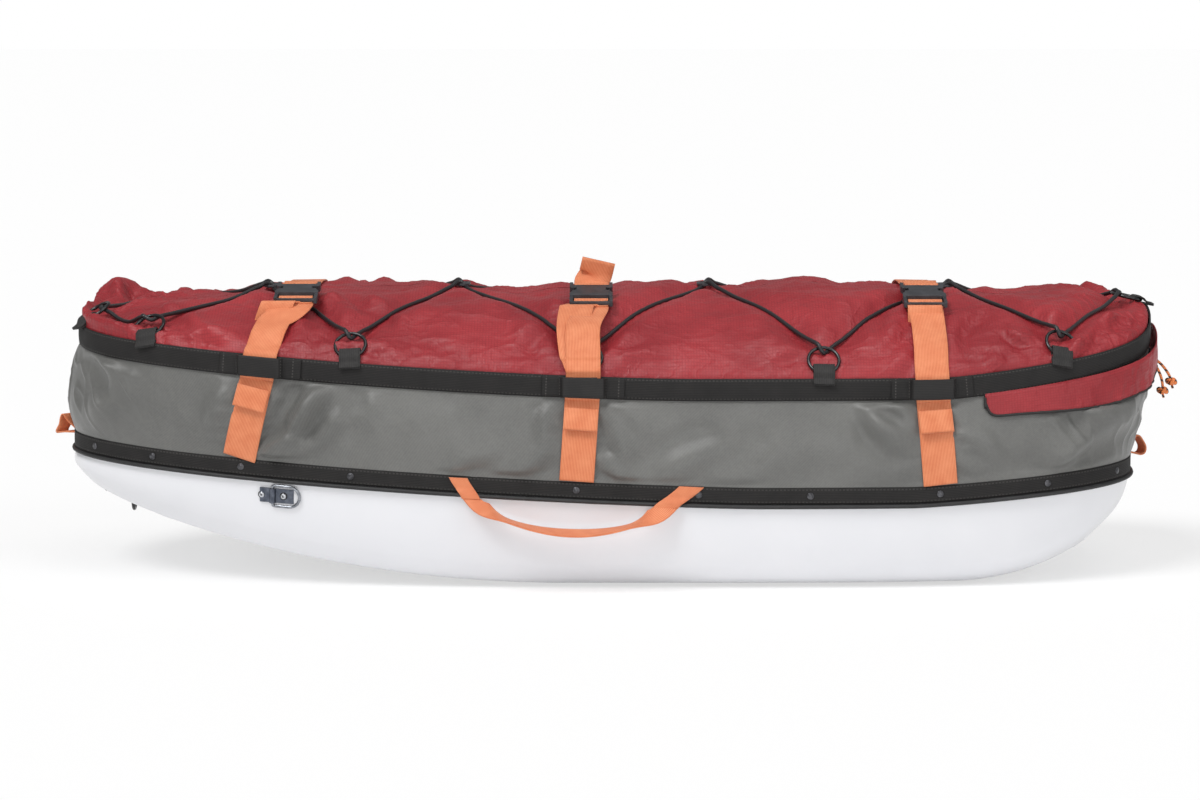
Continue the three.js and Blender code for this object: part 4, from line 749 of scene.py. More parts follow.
black_dark, black_light, black_thread = shade(26, 25, 25), shade(44, 42, 41), shade(78, 76, 74)
white_hull = hull_look()
black_tape = webbing_look("black_webbing", black_dark, black_light, 0.66, 0.02)
orange_tape = webbing_look("orange_webbing", shade(202, 106, 63), shade(228, 146, 103), 0.6, 0.1, 0.0017, 0.2)
top_band_tape = stitched_look("top_band_webbing", black_dark, black_light, black_thread, 0.0022, 0.0228)
lower_band_tape = stitched_look("lower_band_webbing", black_dark, black_light, black_thread, 0.0025, 0.0165)
grey_cloth = skirt_look()
red_cloth = ripstop_look()
elastic_braid = braid_look("elastic_cord_braid", shade(15, 15, 17), shade(34, 34, 37), gloss=0.3)
flecked_braid = braid_look("flecked_cord_braid", shade(198, 98, 44), shade(240, 138, 74), shade(46, 34, 28))
black_plastic = moulded_look("black_buckle_plastic", shade(44, 45, 49), shade(66, 67, 72), 0.36)
black_rubber = moulded_look("black_rim_rubber", shade(30, 30, 31), shade(46, 46, 47), 0.5)
bright_steel = metal_look("galvanised_steel", shade(122, 125, 131), shade(172, 175, 181), 0.2)
keeper_tape = box_stitched_look("keeper_webbing", black_dark, black_light, black_thread, 0.1)
rivet_steel = metal_look("dark_rivet_steel", shade(60, 60, 62), shade(120, 120, 124), 0.3)
plate_steel = metal_look("zinc_plate_steel", shade(74, 79, 90), shade(118, 123, 134), 0.26)
screw_steel = metal_look("screw_head_steel", shade(176, 178, 183), shade(222, 224, 227), 0.2)
black_steel = metal_look("black_coated_steel", shade(16, 16, 18), shade(30, 30, 33), 0.22, 0.4, 0.5)


# Frames of the fittings


class Frame:
    """A place and three axes."""

    def __init__(self, place, x, y, z):
        self.place = np.asarray(place, float)
        self.axes = np.array([x, y, z], float)

    def at(self, *steps):
        """The points at steps along the three axes."""
        return self.place + np.stack(np.broadcast_arrays(*steps), -1) @ self.axes

    def turn(self, *steps):
        return np.stack(np.broadcast_arrays(*steps), -1) @ self.axes


def upward(vector):
    return unit(vector) * (1 if vector[2] >= 0 else -1)


ring_radius = 17.5
ring_wire = 2
tab_width = 25
tab_wall = 1.5
tab_thick = ring_wire + fit_gap + tab_wall
tab_slope_reach = 26
ring_clearance = 8.4
channel_low = 3.5
ring_centre = channel_low + fit_gap + ring_wire + ring_radius


def ring_frame(x, side=-1):
    """Where a ring's tab leaves the band, with axes along the band, up the slope and outward."""
    edge = bag.coarse(x)
    along = np.array([edge[3], -edge[2], 0])
    spine_x = clamp(edge[0], bag_bow_x + cover_spine_inset, bag_stern_x - cover_spine_inset)
    share = tab_slope_reach / math.hypot(edge[0] - spine_x, edge[1])
    seat = cover_from(*edge, share)
    slope = unit(cover_from(*edge, share * 1.2) - seat)
    goal = seat + upward(np.cross(slope, along)) * ring_clearance
    root = np.array([edge[0] + edge[2] * fit_gap, edge[1] + edge[3] * fit_gap, band_z(edge[0], edge[1])])
    place = root + upward(np.cross(goal - root, along)) * tab_thick
    up = unit(goal - place)
    out = upward(np.cross(up, along))
    x_axis = np.cross(up, out)
    if side > 0:
        flip = np.array([1, -1, 1])
        return Frame(place * flip, -x_axis * flip, up * flip, out * flip)
    return Frame(place, x_axis, up, out)


ring_shares = {"bow": 0.0825, "forward": 0.272, "middle": 0.487, "aft": 0.7025, "stern": 0.9215}
side_of = {"near": -1, "far": 1}
ring_frames = {
    f"{label}_{name}": ring_frame(along_hull(share), side)
    for label, side in side_of.items()
    for name, share in ring_shares.items()
}
ring_frames["bow_centre"] = ring_frame(bag.x[-1])
ring_frames["stern_centre"] = ring_frame(bag.x[0])

# Shares of the hull's length where each strap crosses the lower band, the top band and the buckle.
strap_places = {"front": (0.169, 0.19, 0.2176), "middle": (0.478, 0.484, 0.491), "rear": (0.809, 0.801, 0.8)}
strap_xs = {name: [along_hull(share) for share in shares] for name, shares in strap_places.items()}


def buckle_frame(name):
    """w astern, u up the strap and h outward."""
    x = strap_xs[name][2]
    edge = bag.coarse(x)
    middle = cover_from(*edge, buckle_side_share)
    u = (cover_from(*edge, buckle_side_share + 0.02) - middle) * np.array([0, 1, 1])
    u = unit(u)
    h = upward(np.cross([1, 0, 0], u))
    middle[0] = x
    return Frame(middle + h * cord_tunnel, [1, 0, 0], u, h)


# Lacing

lace_radius = 2.5
eye_radius = 8
eye_spacing = 20
hook_height = 8.2
hook_dip = 7.5
hook_wire = 1.5
hook_shares = [0.187, 0.368, 0.599, 0.828]
end_ring_aside = 5.5
end_ring_inset = 2.2


class Eye:
    """A hole that a cord hooks through."""

    def __init__(self, centre, up, out, radius, wire, under_first=False):
        self.centre, self.up, self.out = (np.array(v, float) for v in (centre, up, out))
        self.radius, self.wire = radius, wire
        self.way = -1 if under_first else 1

    def hooked(self, before, after):
        """The cord's points: over the bar on the way in and under it on the way out, or the other way."""
        low = self.centre + self.up * (self.radius - hook_dip)
        over = self.wire + lace_radius + 0.4

        def leg(goal, length, height):
            heading = goal - low
            heading = unit(heading - self.out * heading.dot(self.out))
            return low + heading * length + self.out * height

        points = []
        if before is not None:
            points.append(leg(before, 10, self.way * over * 0.8))
        points.append(low)
        if after is not None:
            points.append(leg(after, 10, -self.way * over * 0.8))
        return points


def ring_eye(frame, aside=0, inset=0):
    centre = frame.at(0, ring_centre, 0) + [0, aside, 0]
    return Eye(centre, frame.axes[1], frame.axes[2], ring_radius - inset, ring_wire)


def hook_eye(share, side):
    x = along_hull(share)
    centre = [x, side * eye_spacing / 2, crest_at(x) + hook_height]
    under_first = share > strap_places["middle"][1]
    return Eye(centre, [0, side, 0], [0, 0, 1], eye_radius, hook_wire, under_first)


def lacing_stops(side):
    label = "near" if side < 0 else "far"
    aside = side * end_ring_aside
    stops = [ring_eye(ring_frames["bow_centre"], aside, end_ring_inset)]
    for name, share in zip(ring_shares, [*hook_shares, None]):
        stops.append(ring_eye(ring_frames[f"{label}_{name}"]))
        if share:
            stops.append(hook_eye(share, side))
    return [*stops, ring_eye(ring_frames["stern_centre"], aside, end_ring_inset)]


def lacing_lines(side):
    """The straight line of each span, from hook to hook."""
    stops = lacing_stops(side)
    return [(a.centre, b.centre) for a, b in zip(stops, stops[1:])]


# Soft goods

cloth_wall = 0.9
columns = 840
places = np.linspace(0, 2 * half_steps, columns, endpoint=False)
# Places along the sled, and how far the crest lies above or below its even curve there.
crest_knots = [
    (-600, -8), (-510, -12), (-470, -12), (-430, -8), (-406, -1), (-366, 2), (-294, -1.8), (-199, 5.5),
    (-151, 0.6), (-103, -7.8), (-56, -5), (40, 0.6), (87, 3), (159, -0.6), (250, 6.6), (326, -3.5),
    (397, 1.5), (469, -3), (540, 6), (588, 12),
]


def creases(points, length, width, turn=0.0, seed=0):
    """Sharp folds from 0 to 1 that run at an angle in plan."""
    x, y, z = np.moveaxis(points, -1, 0)
    along = x * math.cos(turn) + y * math.sin(turn)
    across = -x * math.sin(turn) + y * math.cos(turn)
    folded = waves(np.stack([along / length, across / width, z / width], -1), 1.0, seed)
    return clamp(1 - np.abs(folded) * 2.2) ** 2


def fold(u, v, start, end, width, height, bend=0.1):
    """A crease from start to end: a ridge with a hollow beside it, bent sideways by a share of its length."""
    way = np.subtract(end, start)
    length = math.hypot(*way)
    share = ((u - start[0]) * way[0] + (v - start[1]) * way[1]) / length**2
    away = ((u - start[0]) * way[1] - (v - start[1]) * way[0]) / length
    away = away + bend * length * np.sin(math.pi * clamp(share))
    taper = smooth(share, -0.2, 0.3) * smooth(1 - share, -0.25, 0.4)
    return height * taper * (bump(away, width) - 0.8 * bump(away - 1.5 * width, width * 0.95))


def fanned(x, y, centre, reach, lobes, seed):
    """Folds that fan out from a place where the cloth is pulled."""
    off_x, off_y = x - centre[0], y - centre[1]
    away = np.maximum(np.hypot(off_x, off_y), 1e-6)
    around = np.stack([off_x / away * lobes, off_y / away * lobes, away / (reach * 1.6)], -1)
    pleats = clamp(1 - np.abs(waves(around, 1.0, seed)) * 1.9) ** 2
    return pleats * smooth(away, 4, reach * 0.3) * bump(away, reach)


def from_line(points, start, end):
    """How far each point lies from a line in plan, and its share of the way along."""
    a, b = start[:2], end[:2]
    way = b - a
    share = clamp(((points[..., :2] - a) @ way) / way.dot(way))
    return np.linalg.norm(points[..., :2] - a - share[..., None] * way, axis=-1), share


# Where each fold starts and ends in plan, its width and its height.
cover_folds = [
    ((-496, -172), (-416, -206), 9, 3.0), ((-470, -150), (-425, -186), 7, 2.2),
    ((-416, -117), (-388, -66), 8, 3.2), ((-438, -100), (-416, -40), 10, 2.6),
    ((-353, -192), (-318, -94), 10, 3.6), ((-332, -184), (-296, -128), 8, 2.8),
    ((-255, -132), (-236, -176), 6, 4.4), ((-280, -84), (-240, -132), 10, 3.4),
    ((-318, -207), (-238, -216), 6, 2.2), ((-203, -217), (-88, -222), 7, 2.0),
    ((-106, -206), (-58, -168), 9, 3.2), ((-92, -160), (-50, -100), 10, 2.6),
    ((18, -168), (-2, -218), 8, 3.4), ((-2, -196), (42, -158), 8, 2.8), ((8, -225), (66, -212), 6, 2.2),
    ((36, -110), (78, -60), 12, 2.4), ((180, -219), (228, -200), 7, 2.6),
    ((150, -196), (196, -184), 10, 1.8), ((302, -192), (322, -96), 8, 4.2),
    ((286, -176), (302, -110), 7, 2.4), ((312, -200), (345, -168), 7, 3.2),
    ((318, -223), (344, -190), 6, 2.6), ((392, -190), (424, -124), 10, 3.0),
    ((404, -216), (454, -186), 8, 3.0), ((430, -222), (500, -204), 6, 2.0),
    ((455, -158), (488, -172), 5, 3.8), ((508, -162), (524, -124), 7, 3.4),
    ((514, -197), (540, -146), 7, 3.6), ((544, -172), (602, -92), 8, 3.6),
    ((560, -188), (612, -116), 7, 3.2), ((576, -124), (612, -66), 8, 3.0), ((560, -90), (600, -20), 9, 2.6),
    ((-500, -120), (-470, -176), 8, 3.4), ((-520, -90), (-478, -110), 8, 3.0),
    ((-585, 54), (-572, 126), 8, 5.0), ((-564, 60), (-556, 134), 7, 4.4), ((-546, 50), (-522, 140), 9, 4.6),
    ((-600, 20), (-590, 90), 7, 3.6),
]


def end_weights(x):
    """How near a place is to the bow and to the stern of the bag."""
    return smooth(-x, 430, 580), smooth(x, 500, 610)


def loose_rise(points, share):
    """How far the cover's lumps, creases and gathers rise, where nothing presses on it."""
    x, y = points[..., 0], points[..., 1]
    bow, stern = end_weights(x)
    ends = np.maximum(bow, stern)
    rise = 3.0 + np.interp(x, *zip(*crest_knots)) * smooth(share, 0.3, 0.95)
    rise += waves(points * [0.6, 1, 1], 120, 1) * 5.0 * smooth(share, 0.02, 0.3)
    rise += waves(points * [0.9, 1, 1], 52, 2) * 3.4 * smooth(share, 0, 0.12)
    rise += waves(points, 19, 3) * 0.5
    rise += creases(points, 95, 26, 0.5, 4) * (0.9 + ends * 2.2) * smooth(share, 0.02, 0.2)
    rise += creases(points, 70, 20, -0.9, 5) * (0.7 + ends * 1.4) * smooth(share, 0.02, 0.2)
    rise += creases(points, 60, 16, 0.9, 6) * 0.8 * smooth(share, 0.1, 0.4)
    gather = waves(np.stack([x / 12, y / 12, share * 4], -1), 1.0, 7)
    rise += gather * 1.9 * bump(share - 0.045, 0.07) * smooth(share, 0, 0.03)
    rise += creases(points, 60, 9, 0.04, 8) * 1.8 * bump(share - 0.07, 0.07)
    for place in ring_frames.values():
        rise += fanned(x, y, place.at(0, 6, 0), 52, 3.2, 9) * 4.6 * smooth(share, 0.01, 0.1)
    for k, (start, end, width, height) in enumerate(cover_folds):
        for side in (1, -1) if start[1] < 0 else (1,):
            rise += fold(x, side * y, start, end, width * 1.15, height * 1.7, 0.14 * (-1) ** k)
    roll = bow * smooth(-x, 500, 575)
    rise += roll * (11 * bump(share - 0.055, 0.05) - 15 * bump(share - 0.36, 0.2))
    rise += 17 * bump(np.hypot(x + 572, y - 104), 34)
    rise += 14 * bump(np.hypot(x - 590, y - 104), 36)
    return rise * smooth(share, -0.02, 0.04)


def under_straps(rise, x, y, share):
    """The rise where the three straps hold the cover level, with slack beside them."""
    for _, band_x, buckle_x in strap_xs.values():
        middle = mix(band_x, buckle_x, clamp(share / buckle_side_share))
        away = x - middle
        under = bump(away / 24, 1) * smooth(share, 0.03, 0.14)
        slack = waves(np.stack([away / 16, y / 70, share * 0], -1), 1.0, 10) * bump(np.abs(away) - 34, 16)
        beside = (slack * 2.6 + 1.6 * bump(np.abs(away) - 42, 14)) * smooth(share, 0.03, 0.14)
        rise = rise * (1 - under) + 4.0 * under + beside
    return rise


def under_cords(rise, points, share):
    """The rise with a furrow under each span of the lacing."""
    for side in (-1, 1):
        for start, end in lacing_lines(side):
            away, part = from_line(points, start, end)
            press = smooth(part, 0, 0.08) * smooth(1 - part, 0, 0.08)
            press = press * smooth(share, 0.05, 0.2)
            rise = rise * (1 - 0.9 * bump(away / 13, 1) ** 0.7 * press)
            rise = rise + (2.6 * bump(away - 28, 14) - 5.0 * bump(away, 13)) * press
    return rise


def cover_surface():
    shares = np.concatenate([[-0.03], np.linspace(0, 0.2, 20), np.linspace(0.2, 0.995, 56)[1:]])
    at = np.broadcast_to(places, (len(shares), columns))
    share = np.broadcast_to(shares[:, None], at.shape)
    points = cover_point(at, clamp(share))
    points[0] += [0, 0, -9]
    rise = under_straps(loose_rise(points, share), points[..., 0], points[..., 1], share)
    return points + facing(points) * under_cords(rise, points, share)[..., None]


cover_points = cover_surface()
cover = piece("cover_cloth", sheet_mesh(cover_points, wrap=True), red_cloth, stands_for=["cover"])
thicken(cover, cloth_wall)
declare_sheet(cover_points, cover_cut(cover_points))
cover_tree = BVHTree.FromPolygons(
    [tuple(v.co) for v in cover.data.vertices], [tuple(p.vertices) for p in cover.data.polygons]
)


def cover_height(x, y):
    hit = cover_tree.ray_cast(Vector((x * mm, y * mm, 1)), Vector((0, 0, -1)))[0]
    return hit.z / mm if hit else 0


# Where each fold starts and ends, as a place along the sled and a share of the way up the skirt, its
# width and its height.
skirt_folds = [
    ((-588, 1.0), (-568, 0.6), 9, 4.4), ((-572, 0.66), (-596, 0.15), 12, 2.6),
    ((-552, 0.9), (-548, 0.55), 11, 2.2), ((-432, 0.85), (-450, 0.25), 10, 2.6),
    ((-333, 0.98), (-401, 0.05), 10, 4.2), ((-312, 0.95), (-362, 0.25), 9, 3.2),
    ((-296, 0.8), (-380, 0.02), 8, 2.6), ((-346, 0.32), (-392, 0.02), 7, 3.0),
    ((-262, 0.9), (-290, 0.5), 12, 2.0), ((-136, 0.02), (-72, 0.32), 10, 2.8),
    ((-184, 0.0), (-120, 0.3), 12, 2.2), ((-60, 0.95), (-70, 0.4), 8, 2.4), ((-6, 0.88), (18, 0.2), 9, 3.2),
    ((-10, 0.34), (40, 0.0), 8, 3.0), ((8, 0.98), (40, 0.6), 10, 2.2), ((146, 0.42), (56, 0.02), 13, 2.6),
    ((196, 0.5), (120, 0.05), 14, 1.8), ((288, 1.0), (348, 0.6), 9, 3.6), ((306, 1.0), (346, 0.76), 7, 3.0),
    ((292, 0.84), (346, 0.44), 9, 3.2), ((392, 0.62), (446, 0.22), 10, 2.8),
    ((396, 0.44), (430, 0.1), 8, 2.4), ((388, 0.9), (404, 0.6), 8, 2.0), ((536, 0.9), (598, 0.55), 12, 3.0),
    ((512, 0.05), (592, 0.5), 12, 3.2), ((470, 0.5), (540, 0.2), 14, 2.0),
]


def skirt_rise(points, share):
    """How far the skirt's folds and gathers rise."""
    x, y, z = np.moveaxis(points, -1, 0)
    low, high = z[2], z[-3]
    up = mix(0, high - low, share)
    middle = np.sin(math.pi * clamp(share))
    rise = waves(points * [0.5, 1, 0.8], 90, 11) * 4.0 * middle
    rise += waves(points * [1, 1, 0.7], 40, 12) * 2.2 * middle**0.5
    ends = np.maximum(smooth(-x, 330, 520), smooth(x, 420, 580))
    slanted = np.stack([(x + z * 0.6) / 26, y / 26, z / 95], -1)
    rise += clamp(1 - np.abs(waves(slanted, 1.0, 13)) * 2.0) ** 2 * (0.8 + 1.8 * ends) * middle
    near_x, near_span = x[2][: columns // 2][::-1], (high - low)[: columns // 2][::-1]
    for k, (start, end, width, height) in enumerate(skirt_folds):
        span = float(np.interp(start[0], near_x, near_span))
        tip, foot = (start[0], start[1] * span), (end[0], end[1] * span)
        rise += fold(x, up, tip, foot, width * 1.3, height * 2.6, 0.12 * (-1) ** k) * smooth(middle, 0, 0.35)
    gather = waves(np.stack([x / 11, y / 11, z / 60], -1), 1.0, 14)
    rise += gather * 0.9 * (bump(share, 0.16) + bump(share - 1, 0.16)) * middle**0.3
    return rise


def skirt_under_straps(rise, points, share):
    """The rise where the straps hold the skirt flat, with puckers beside them."""
    x, y, z = np.moveaxis(points, -1, 0)
    middle = np.sin(math.pi * clamp(share))
    for rim_x, band_x, _ in strap_xs.values():
        away = x - mix(rim_x, band_x, share * wall_share)
        near_strap = bump(away, 21)
        pucker = waves(np.stack([x / 60, y / 60, z / 10], -1), 1.0, 15) * 1.8 * bump(np.abs(away) - 29, 12)
        beside = (pucker + 2.2 * bump(np.abs(away) - 40, 18)) * middle
        rise = rise * (1 - near_strap) - 1.0 * near_strap + beside
    return rise


def skirt_surface():
    shares = np.concatenate([[-0.08, -0.03], np.linspace(0, 1, 56), [1.03, 1.08]])
    at = np.broadcast_to(places, (len(shares), columns))
    share = np.broadcast_to(shares[:, None], at.shape)
    points = skirt_point(at, share)
    rise = skirt_under_straps(skirt_rise(points, share), points, share)
    rise = np.where(rise > -5, rise, -5 + (rise + 5) * 0.3)
    under_flap = smooth(points[..., 0], 424, 436) * smooth(share, 0.62, 0.72)
    rise = mix(rise, np.minimum(rise, 0) * 0.5, under_flap)
    rise = rise * smooth(share, 0, 0.06) * smooth(1 - share, 0, 0.06)
    return points + facing(points) * rise[..., None]


skirt_points = skirt_surface()
skirt = piece("skirt_cloth", sheet_mesh(skirt_points, wrap=True), grey_cloth, stands_for=["skirt"])
thicken(skirt, cloth_wall)
declare_sheet(skirt_points)


# Hull, runners and edging

hull_wall = 4


def hull_surface():
    """The hull's skin: spine, underside, rounded chine, side and the upstand behind the lower band."""
    rows = []
    spine_low, spine_high = keel_bow_x + spine_inset, keel_stern_x - spine_inset
    x, y = keel.xy(places)
    for share in [0, 0.3, 0.6, 0.8, 0.9, 0.96]:
        px, py = mix(clamp(x, spine_low, spine_high), x, share), mix(0 * y, y, share)
        rows.append(np.stack([px, py, keel_z(px)], -1))
    corner = np.stack([x, y, keel_z(x)], -1)
    start, end = rows[-1], side_point(places, 0.07)
    for t in np.linspace(0, 1, 9)[1:-1]:
        rows.append((1 - t) ** 2 * start + 2 * t * (1 - t) * (corner + [0, 0, -1]) + t * t * end)
    rows += [side_point(places, share) for share in np.linspace(0.07, 1, 22)]
    rows.append(around(rim, places, 0, lambda x, y: rim_z(x) + 24))
    return np.array(rows)


hull = piece("hull_skin", sheet_mesh(hull_surface(), wrap=True), white_hull, stands_for=["hull"])
thicken(hull, hull_wall)

runner_width = 22
runner_thickness = 4
runner_bow_x = -530
runner_stern_x = 560
runner_y = 97.0
runner_taper = 14
runner_tip_share = 0.2


def runner_mesh(side):
    xs = np.concatenate([np.linspace(runner_bow_x, -50, 50), np.linspace(-50, runner_stern_x, 50)[1:]])
    from_end = np.minimum(xs - runner_bow_x, runner_stern_x - xs)
    depth = runner_thickness * clamp(runner_tip_share + from_end / runner_taper)
    middle = np.stack([xs, np.full(len(xs), side * runner_y), keel_z(xs) - fit_gap + 0.3], -1)
    half = runner_width / 2
    section = np.array([
        [(-half, 0), (-half, -d * 0.75), (-half + 1, -d), (half - 1, -d), (half, -d * 0.75), (half, 0)]
        for d in depth
    ])
    across = np.broadcast_to([0.0, 1, 0], middle.shape)
    up = np.broadcast_to([0.0, 0, 1], middle.shape)
    return swept_mesh(middle, across, up, section)


for label, side in side_of.items():
    piece(f"runner_strip_{label}", runner_mesh(side), white_hull, stands_for=[f"runner_{label}"])


def hoop_mesh(line, profile, low, sway=None):
    """A band round an outline. profile lists (out, height above low) from its outer face's foot."""
    x, y, out_x, out_y = line.at(places)
    base = low(x, y)
    rows = []
    for out, height in profile:
        out = out + (sway(x, y, height) if sway else 0)
        rows.append(np.stack([x + out_x * out, y + out_y * out, base + height], -1))
    return sheet_mesh(np.array(rows), wrap=True, hollow=True)


def face_profile(inside, outside, height, rows=7, belly=0.0):
    levels = np.linspace(0, 1, rows)
    face = [(outside + belly * math.sin(math.pi * t), height * t) for t in levels]
    middle = (inside + outside) / 2
    return [*face, (middle, height + 0.2), (inside, height - 0.2), (inside, 0.2), (middle, -0.2)]


bead_round = [(0.6, 0.1), (0.92, 1.1), (1, 2.5), (0.92, 3.9), (0.6, 4.9)]
bead = [(fit_gap, 0), *[(bead_depth * out, up) for out, up in bead_round], (fit_gap, 5)]
piece("rim_bead", hoop_mesh(rim, bead, lambda x, y: rim_z(x)), black_rubber, stands_for=["rim_edging"])


def band_sway(x, y, height):
    """Sewn webbing is never quite flat."""
    flat = np.stack([x / 60, y / 60, np.full_like(x, height / 40)], -1)
    small = np.stack([x / 9, y / 9, np.full_like(x, height / 9)], -1)
    return waves(flat, 1.0, 21) * 0.35 + waves(small, 1.0, 22) * 0.12


lower_band = hoop_mesh(
    rim, face_profile(lower_band_out - 1.8, lower_band_out, lower_band_height),
    lambda x, y: lower_band_z(x), band_sway,
)
piece("lower_band_tape", lower_band, lower_band_tape, stands_for=["lower_band"])
top_band = hoop_mesh(
    bag, face_profile(fit_gap, band_out, top_band_height, belly=0.5), band_low_z, band_sway
)
piece("top_band_tape", top_band, top_band_tape, stands_for=["top_band"])


# Rings, tabs and lacing


def dome_mesh(frame, radius, height, washer=0.0):
    """A rivet or screw head: a low dome, with a flat washer under it where washer is its extra width."""
    foot = 0.5 if washer else 0
    edge = radius + washer
    profile = [(edge, 0), (edge, foot), (radius + washer * 0.2, 0.7)] if washer else [(radius, 0)]
    profile += [(radius * math.cos(t), foot + height * math.sin(t)) for t in np.linspace(0.1, 1.5, 6)]
    angle = np.linspace(0, 2 * math.pi, 20, endpoint=False)
    rows = np.array([frame.at(r * np.cos(angle), r * np.sin(angle), h) for r, h in profile])
    return sheet_mesh(rows, wrap=True)


# How a tab goes round its ring, as steps up the slope and outward.
tab_fold = np.array([
    (-9, -3.2), (0, -3.5), (8, -3.3), (14.4, -2.9), (16.2, -1.7), (16.8, 0), (16.2, 1.7),
    (14.4, 2.9), (8, 3.2), (4, 2.4), (1, 0.2), (-2, -1.4), (-9, -1.6),
])
tab_line = eased(np.stack([0 * tab_fold[:, 0], *tab_fold.T], -1), 4)

for name, place in ring_frames.items():
    angle = np.linspace(0, 2 * math.pi, 48, endpoint=False)
    wire = place.at(ring_radius * np.cos(angle), ring_centre + ring_radius * np.sin(angle), 0)
    node = f"cord_ring_{name}"
    piece(f"{node}_wire", tube_mesh(wire, ring_wire, 12, wrap=True), black_steel, stands_for=[node])
    middle = place.at(*tab_line.T)
    side = np.broadcast_to(place.axes[0], middle.shape)
    piece(f"ring_tab_{name}", ribbon_mesh(middle, side, tab_width, 1.5), black_tape)


def lying_span(start, end):
    """A cord from start to end that lies in the cover's hollow in one smooth curve."""
    shares = np.linspace(0, 1, 19)[1:-1]
    line = mix(start, end, shares[:, None])
    rest = np.array([cover_height(x, y) + lace_radius - 0.6 for x, y, _ in line])
    hang = mix(line[:, 2], rest, smooth(np.minimum(shares, 1 - shares), 0.0, 0.4))
    padded = np.concatenate([[start[2]] * 3, np.maximum(hang, rest), [end[2]] * 3])
    even = np.convolve(padded, np.array([1, 2, 3, 4, 3, 2, 1]) / 16, "valid")
    line[:, 2] = np.maximum(even, rest - 0.8)
    return list(line)


def lacing_path(side):
    stops = lacing_stops(side)
    points = []
    for k, eye in enumerate(stops):
        before = stops[k - 1].centre if k else None
        after = stops[k + 1].centre if k + 1 < len(stops) else None
        hooked = eye.hooked(before, after)
        if points:
            points += lying_span(points[-1], hooked[0])
        points += hooked
    return eased(points, 3)


for label, side in side_of.items():
    node = f"lacing_{label}"
    piece(f"{node}_cord", tube_mesh(lacing_path(side), lace_radius, 12), elastic_braid, stands_for=[node])


# Straps, keepers and buckles

near_places = np.linspace(0, half_steps, 721)
strap_lay = 1.3
main_bar_u, outer_bar_u, bar_half = -23, -34, 2
main_bar_high = 5.6
plug_bar_u, plug_bar_high = 33, 6.6
lay = webbing_thickness / 2
wrap = fit_gap + lay
second_lay = lay + webbing_thickness + fit_gap


def across_at(line, x):
    """Three points across a strap where a line on the near side reaches x."""
    found = []
    for aside in (-strap_width / 2, 0, strap_width / 2):
        found.append([np.interp(-(x + aside), -line[:, 0], line[:, k]) for k in range(3)])
    return np.array(found)


def strap_rows(name, top_share):
    """Rows of (three points across, lift) from the lower band up to a share of the cover."""
    rim_x, band_x, buckle_x = strap_xs[name]
    rows = []
    for share in np.linspace(0, 1, 9):
        line = skirt_point(near_places, share)
        rows.append((across_at(line, mix(rim_x, band_x, share * wall_share)), strap_lay))
    for z_of in (band_low_z, band_z):
        line = around(bag, near_places, band_out, z_of)
        rows.append((across_at(line, mix(rim_x, band_x, wall_share) if z_of is band_low_z else band_x), 1.9))
    shares = [0.05, 0.12, 0.22, 0.36, 0.5, 0.64, 0.78, 0.9, 0.98]
    if name == "middle":
        frame = ring_frames["near_middle"]
        aside = band_x - frame.place[0]
        shoulder = tab_thick + strap_lift
        for up, out in ((2.8, shoulder), (14.7, shoulder + 0.4), (ring_centre, 9), (62, 9)):
            rows.append((frame.at(aside + np.array([-20, 0, 20]), up, out), 0))
        shares = shares[3:]
    for share in shares:
        if share > top_share:
            break
        line = cover_point(near_places, share)
        x = mix(band_x, buckle_x, min(1, share / buckle_side_share))
        rows.append((across_at(line, x), cord_tunnel * min(1, share / 0.12) + lay))
    return rows


def lifted(rows, extra=0.0, fan=None):
    """The middles and sides of a strap on its rows. fan moves each row sideways."""
    middles = np.array([r[0][1] for r in rows])
    sides = np.array([r[0][2] - r[0][0] for r in rows])
    normal = unit(np.cross(sides, np.gradient(middles, axis=0)))
    lifts = np.array([r[1] for r in rows]) + extra
    middles = middles + normal * lifts[:, None]
    if fan is not None:
        middles[:, 0] += np.asarray(fan)
    return middles, unit(sides)


def in_buckle(frame, steps):
    """The middles and sides of a strap at (u, h) or (u, h, sideways) steps in a buckle."""
    steps = np.array([(*step, 0)[:3] for step in steps], float)
    middles = frame.at(steps[:, 2], steps[:, 0], steps[:, 1])
    return middles, np.broadcast_to(frame.axes[0], middles.shape)


def strap_mesh(runs, sheared=False):
    middle = np.concatenate([m for m, _ in runs])
    side = np.concatenate([s for _, s in runs])
    return ribbon_mesh(eased(middle, 5), eased(side, 5), strap_width, sheared=sheared)


def near_strap(name, frame):
    rows = strap_rows(name, 0.24)
    upper_edge, lower_edge = main_bar_u + bar_half, main_bar_u - bar_half
    turn = [
        (outer_bar_u - 10, lay), (upper_edge, lay), (upper_edge + wrap, lay + wrap),
        (upper_edge + wrap, main_bar_high), (upper_edge, main_bar_high + wrap),
        (lower_edge, main_bar_high + wrap), (lower_edge - wrap * 1.3, main_bar_high),
        (outer_bar_u + bar_half + wrap, second_lay), (outer_bar_u - 3, second_lay),
    ]
    return [lifted(rows), in_buckle(frame, turn)], rows


# How far each tail swings aside.
tail_fans = {"front": 20.0, "middle": 17.0, "rear": 2.0}


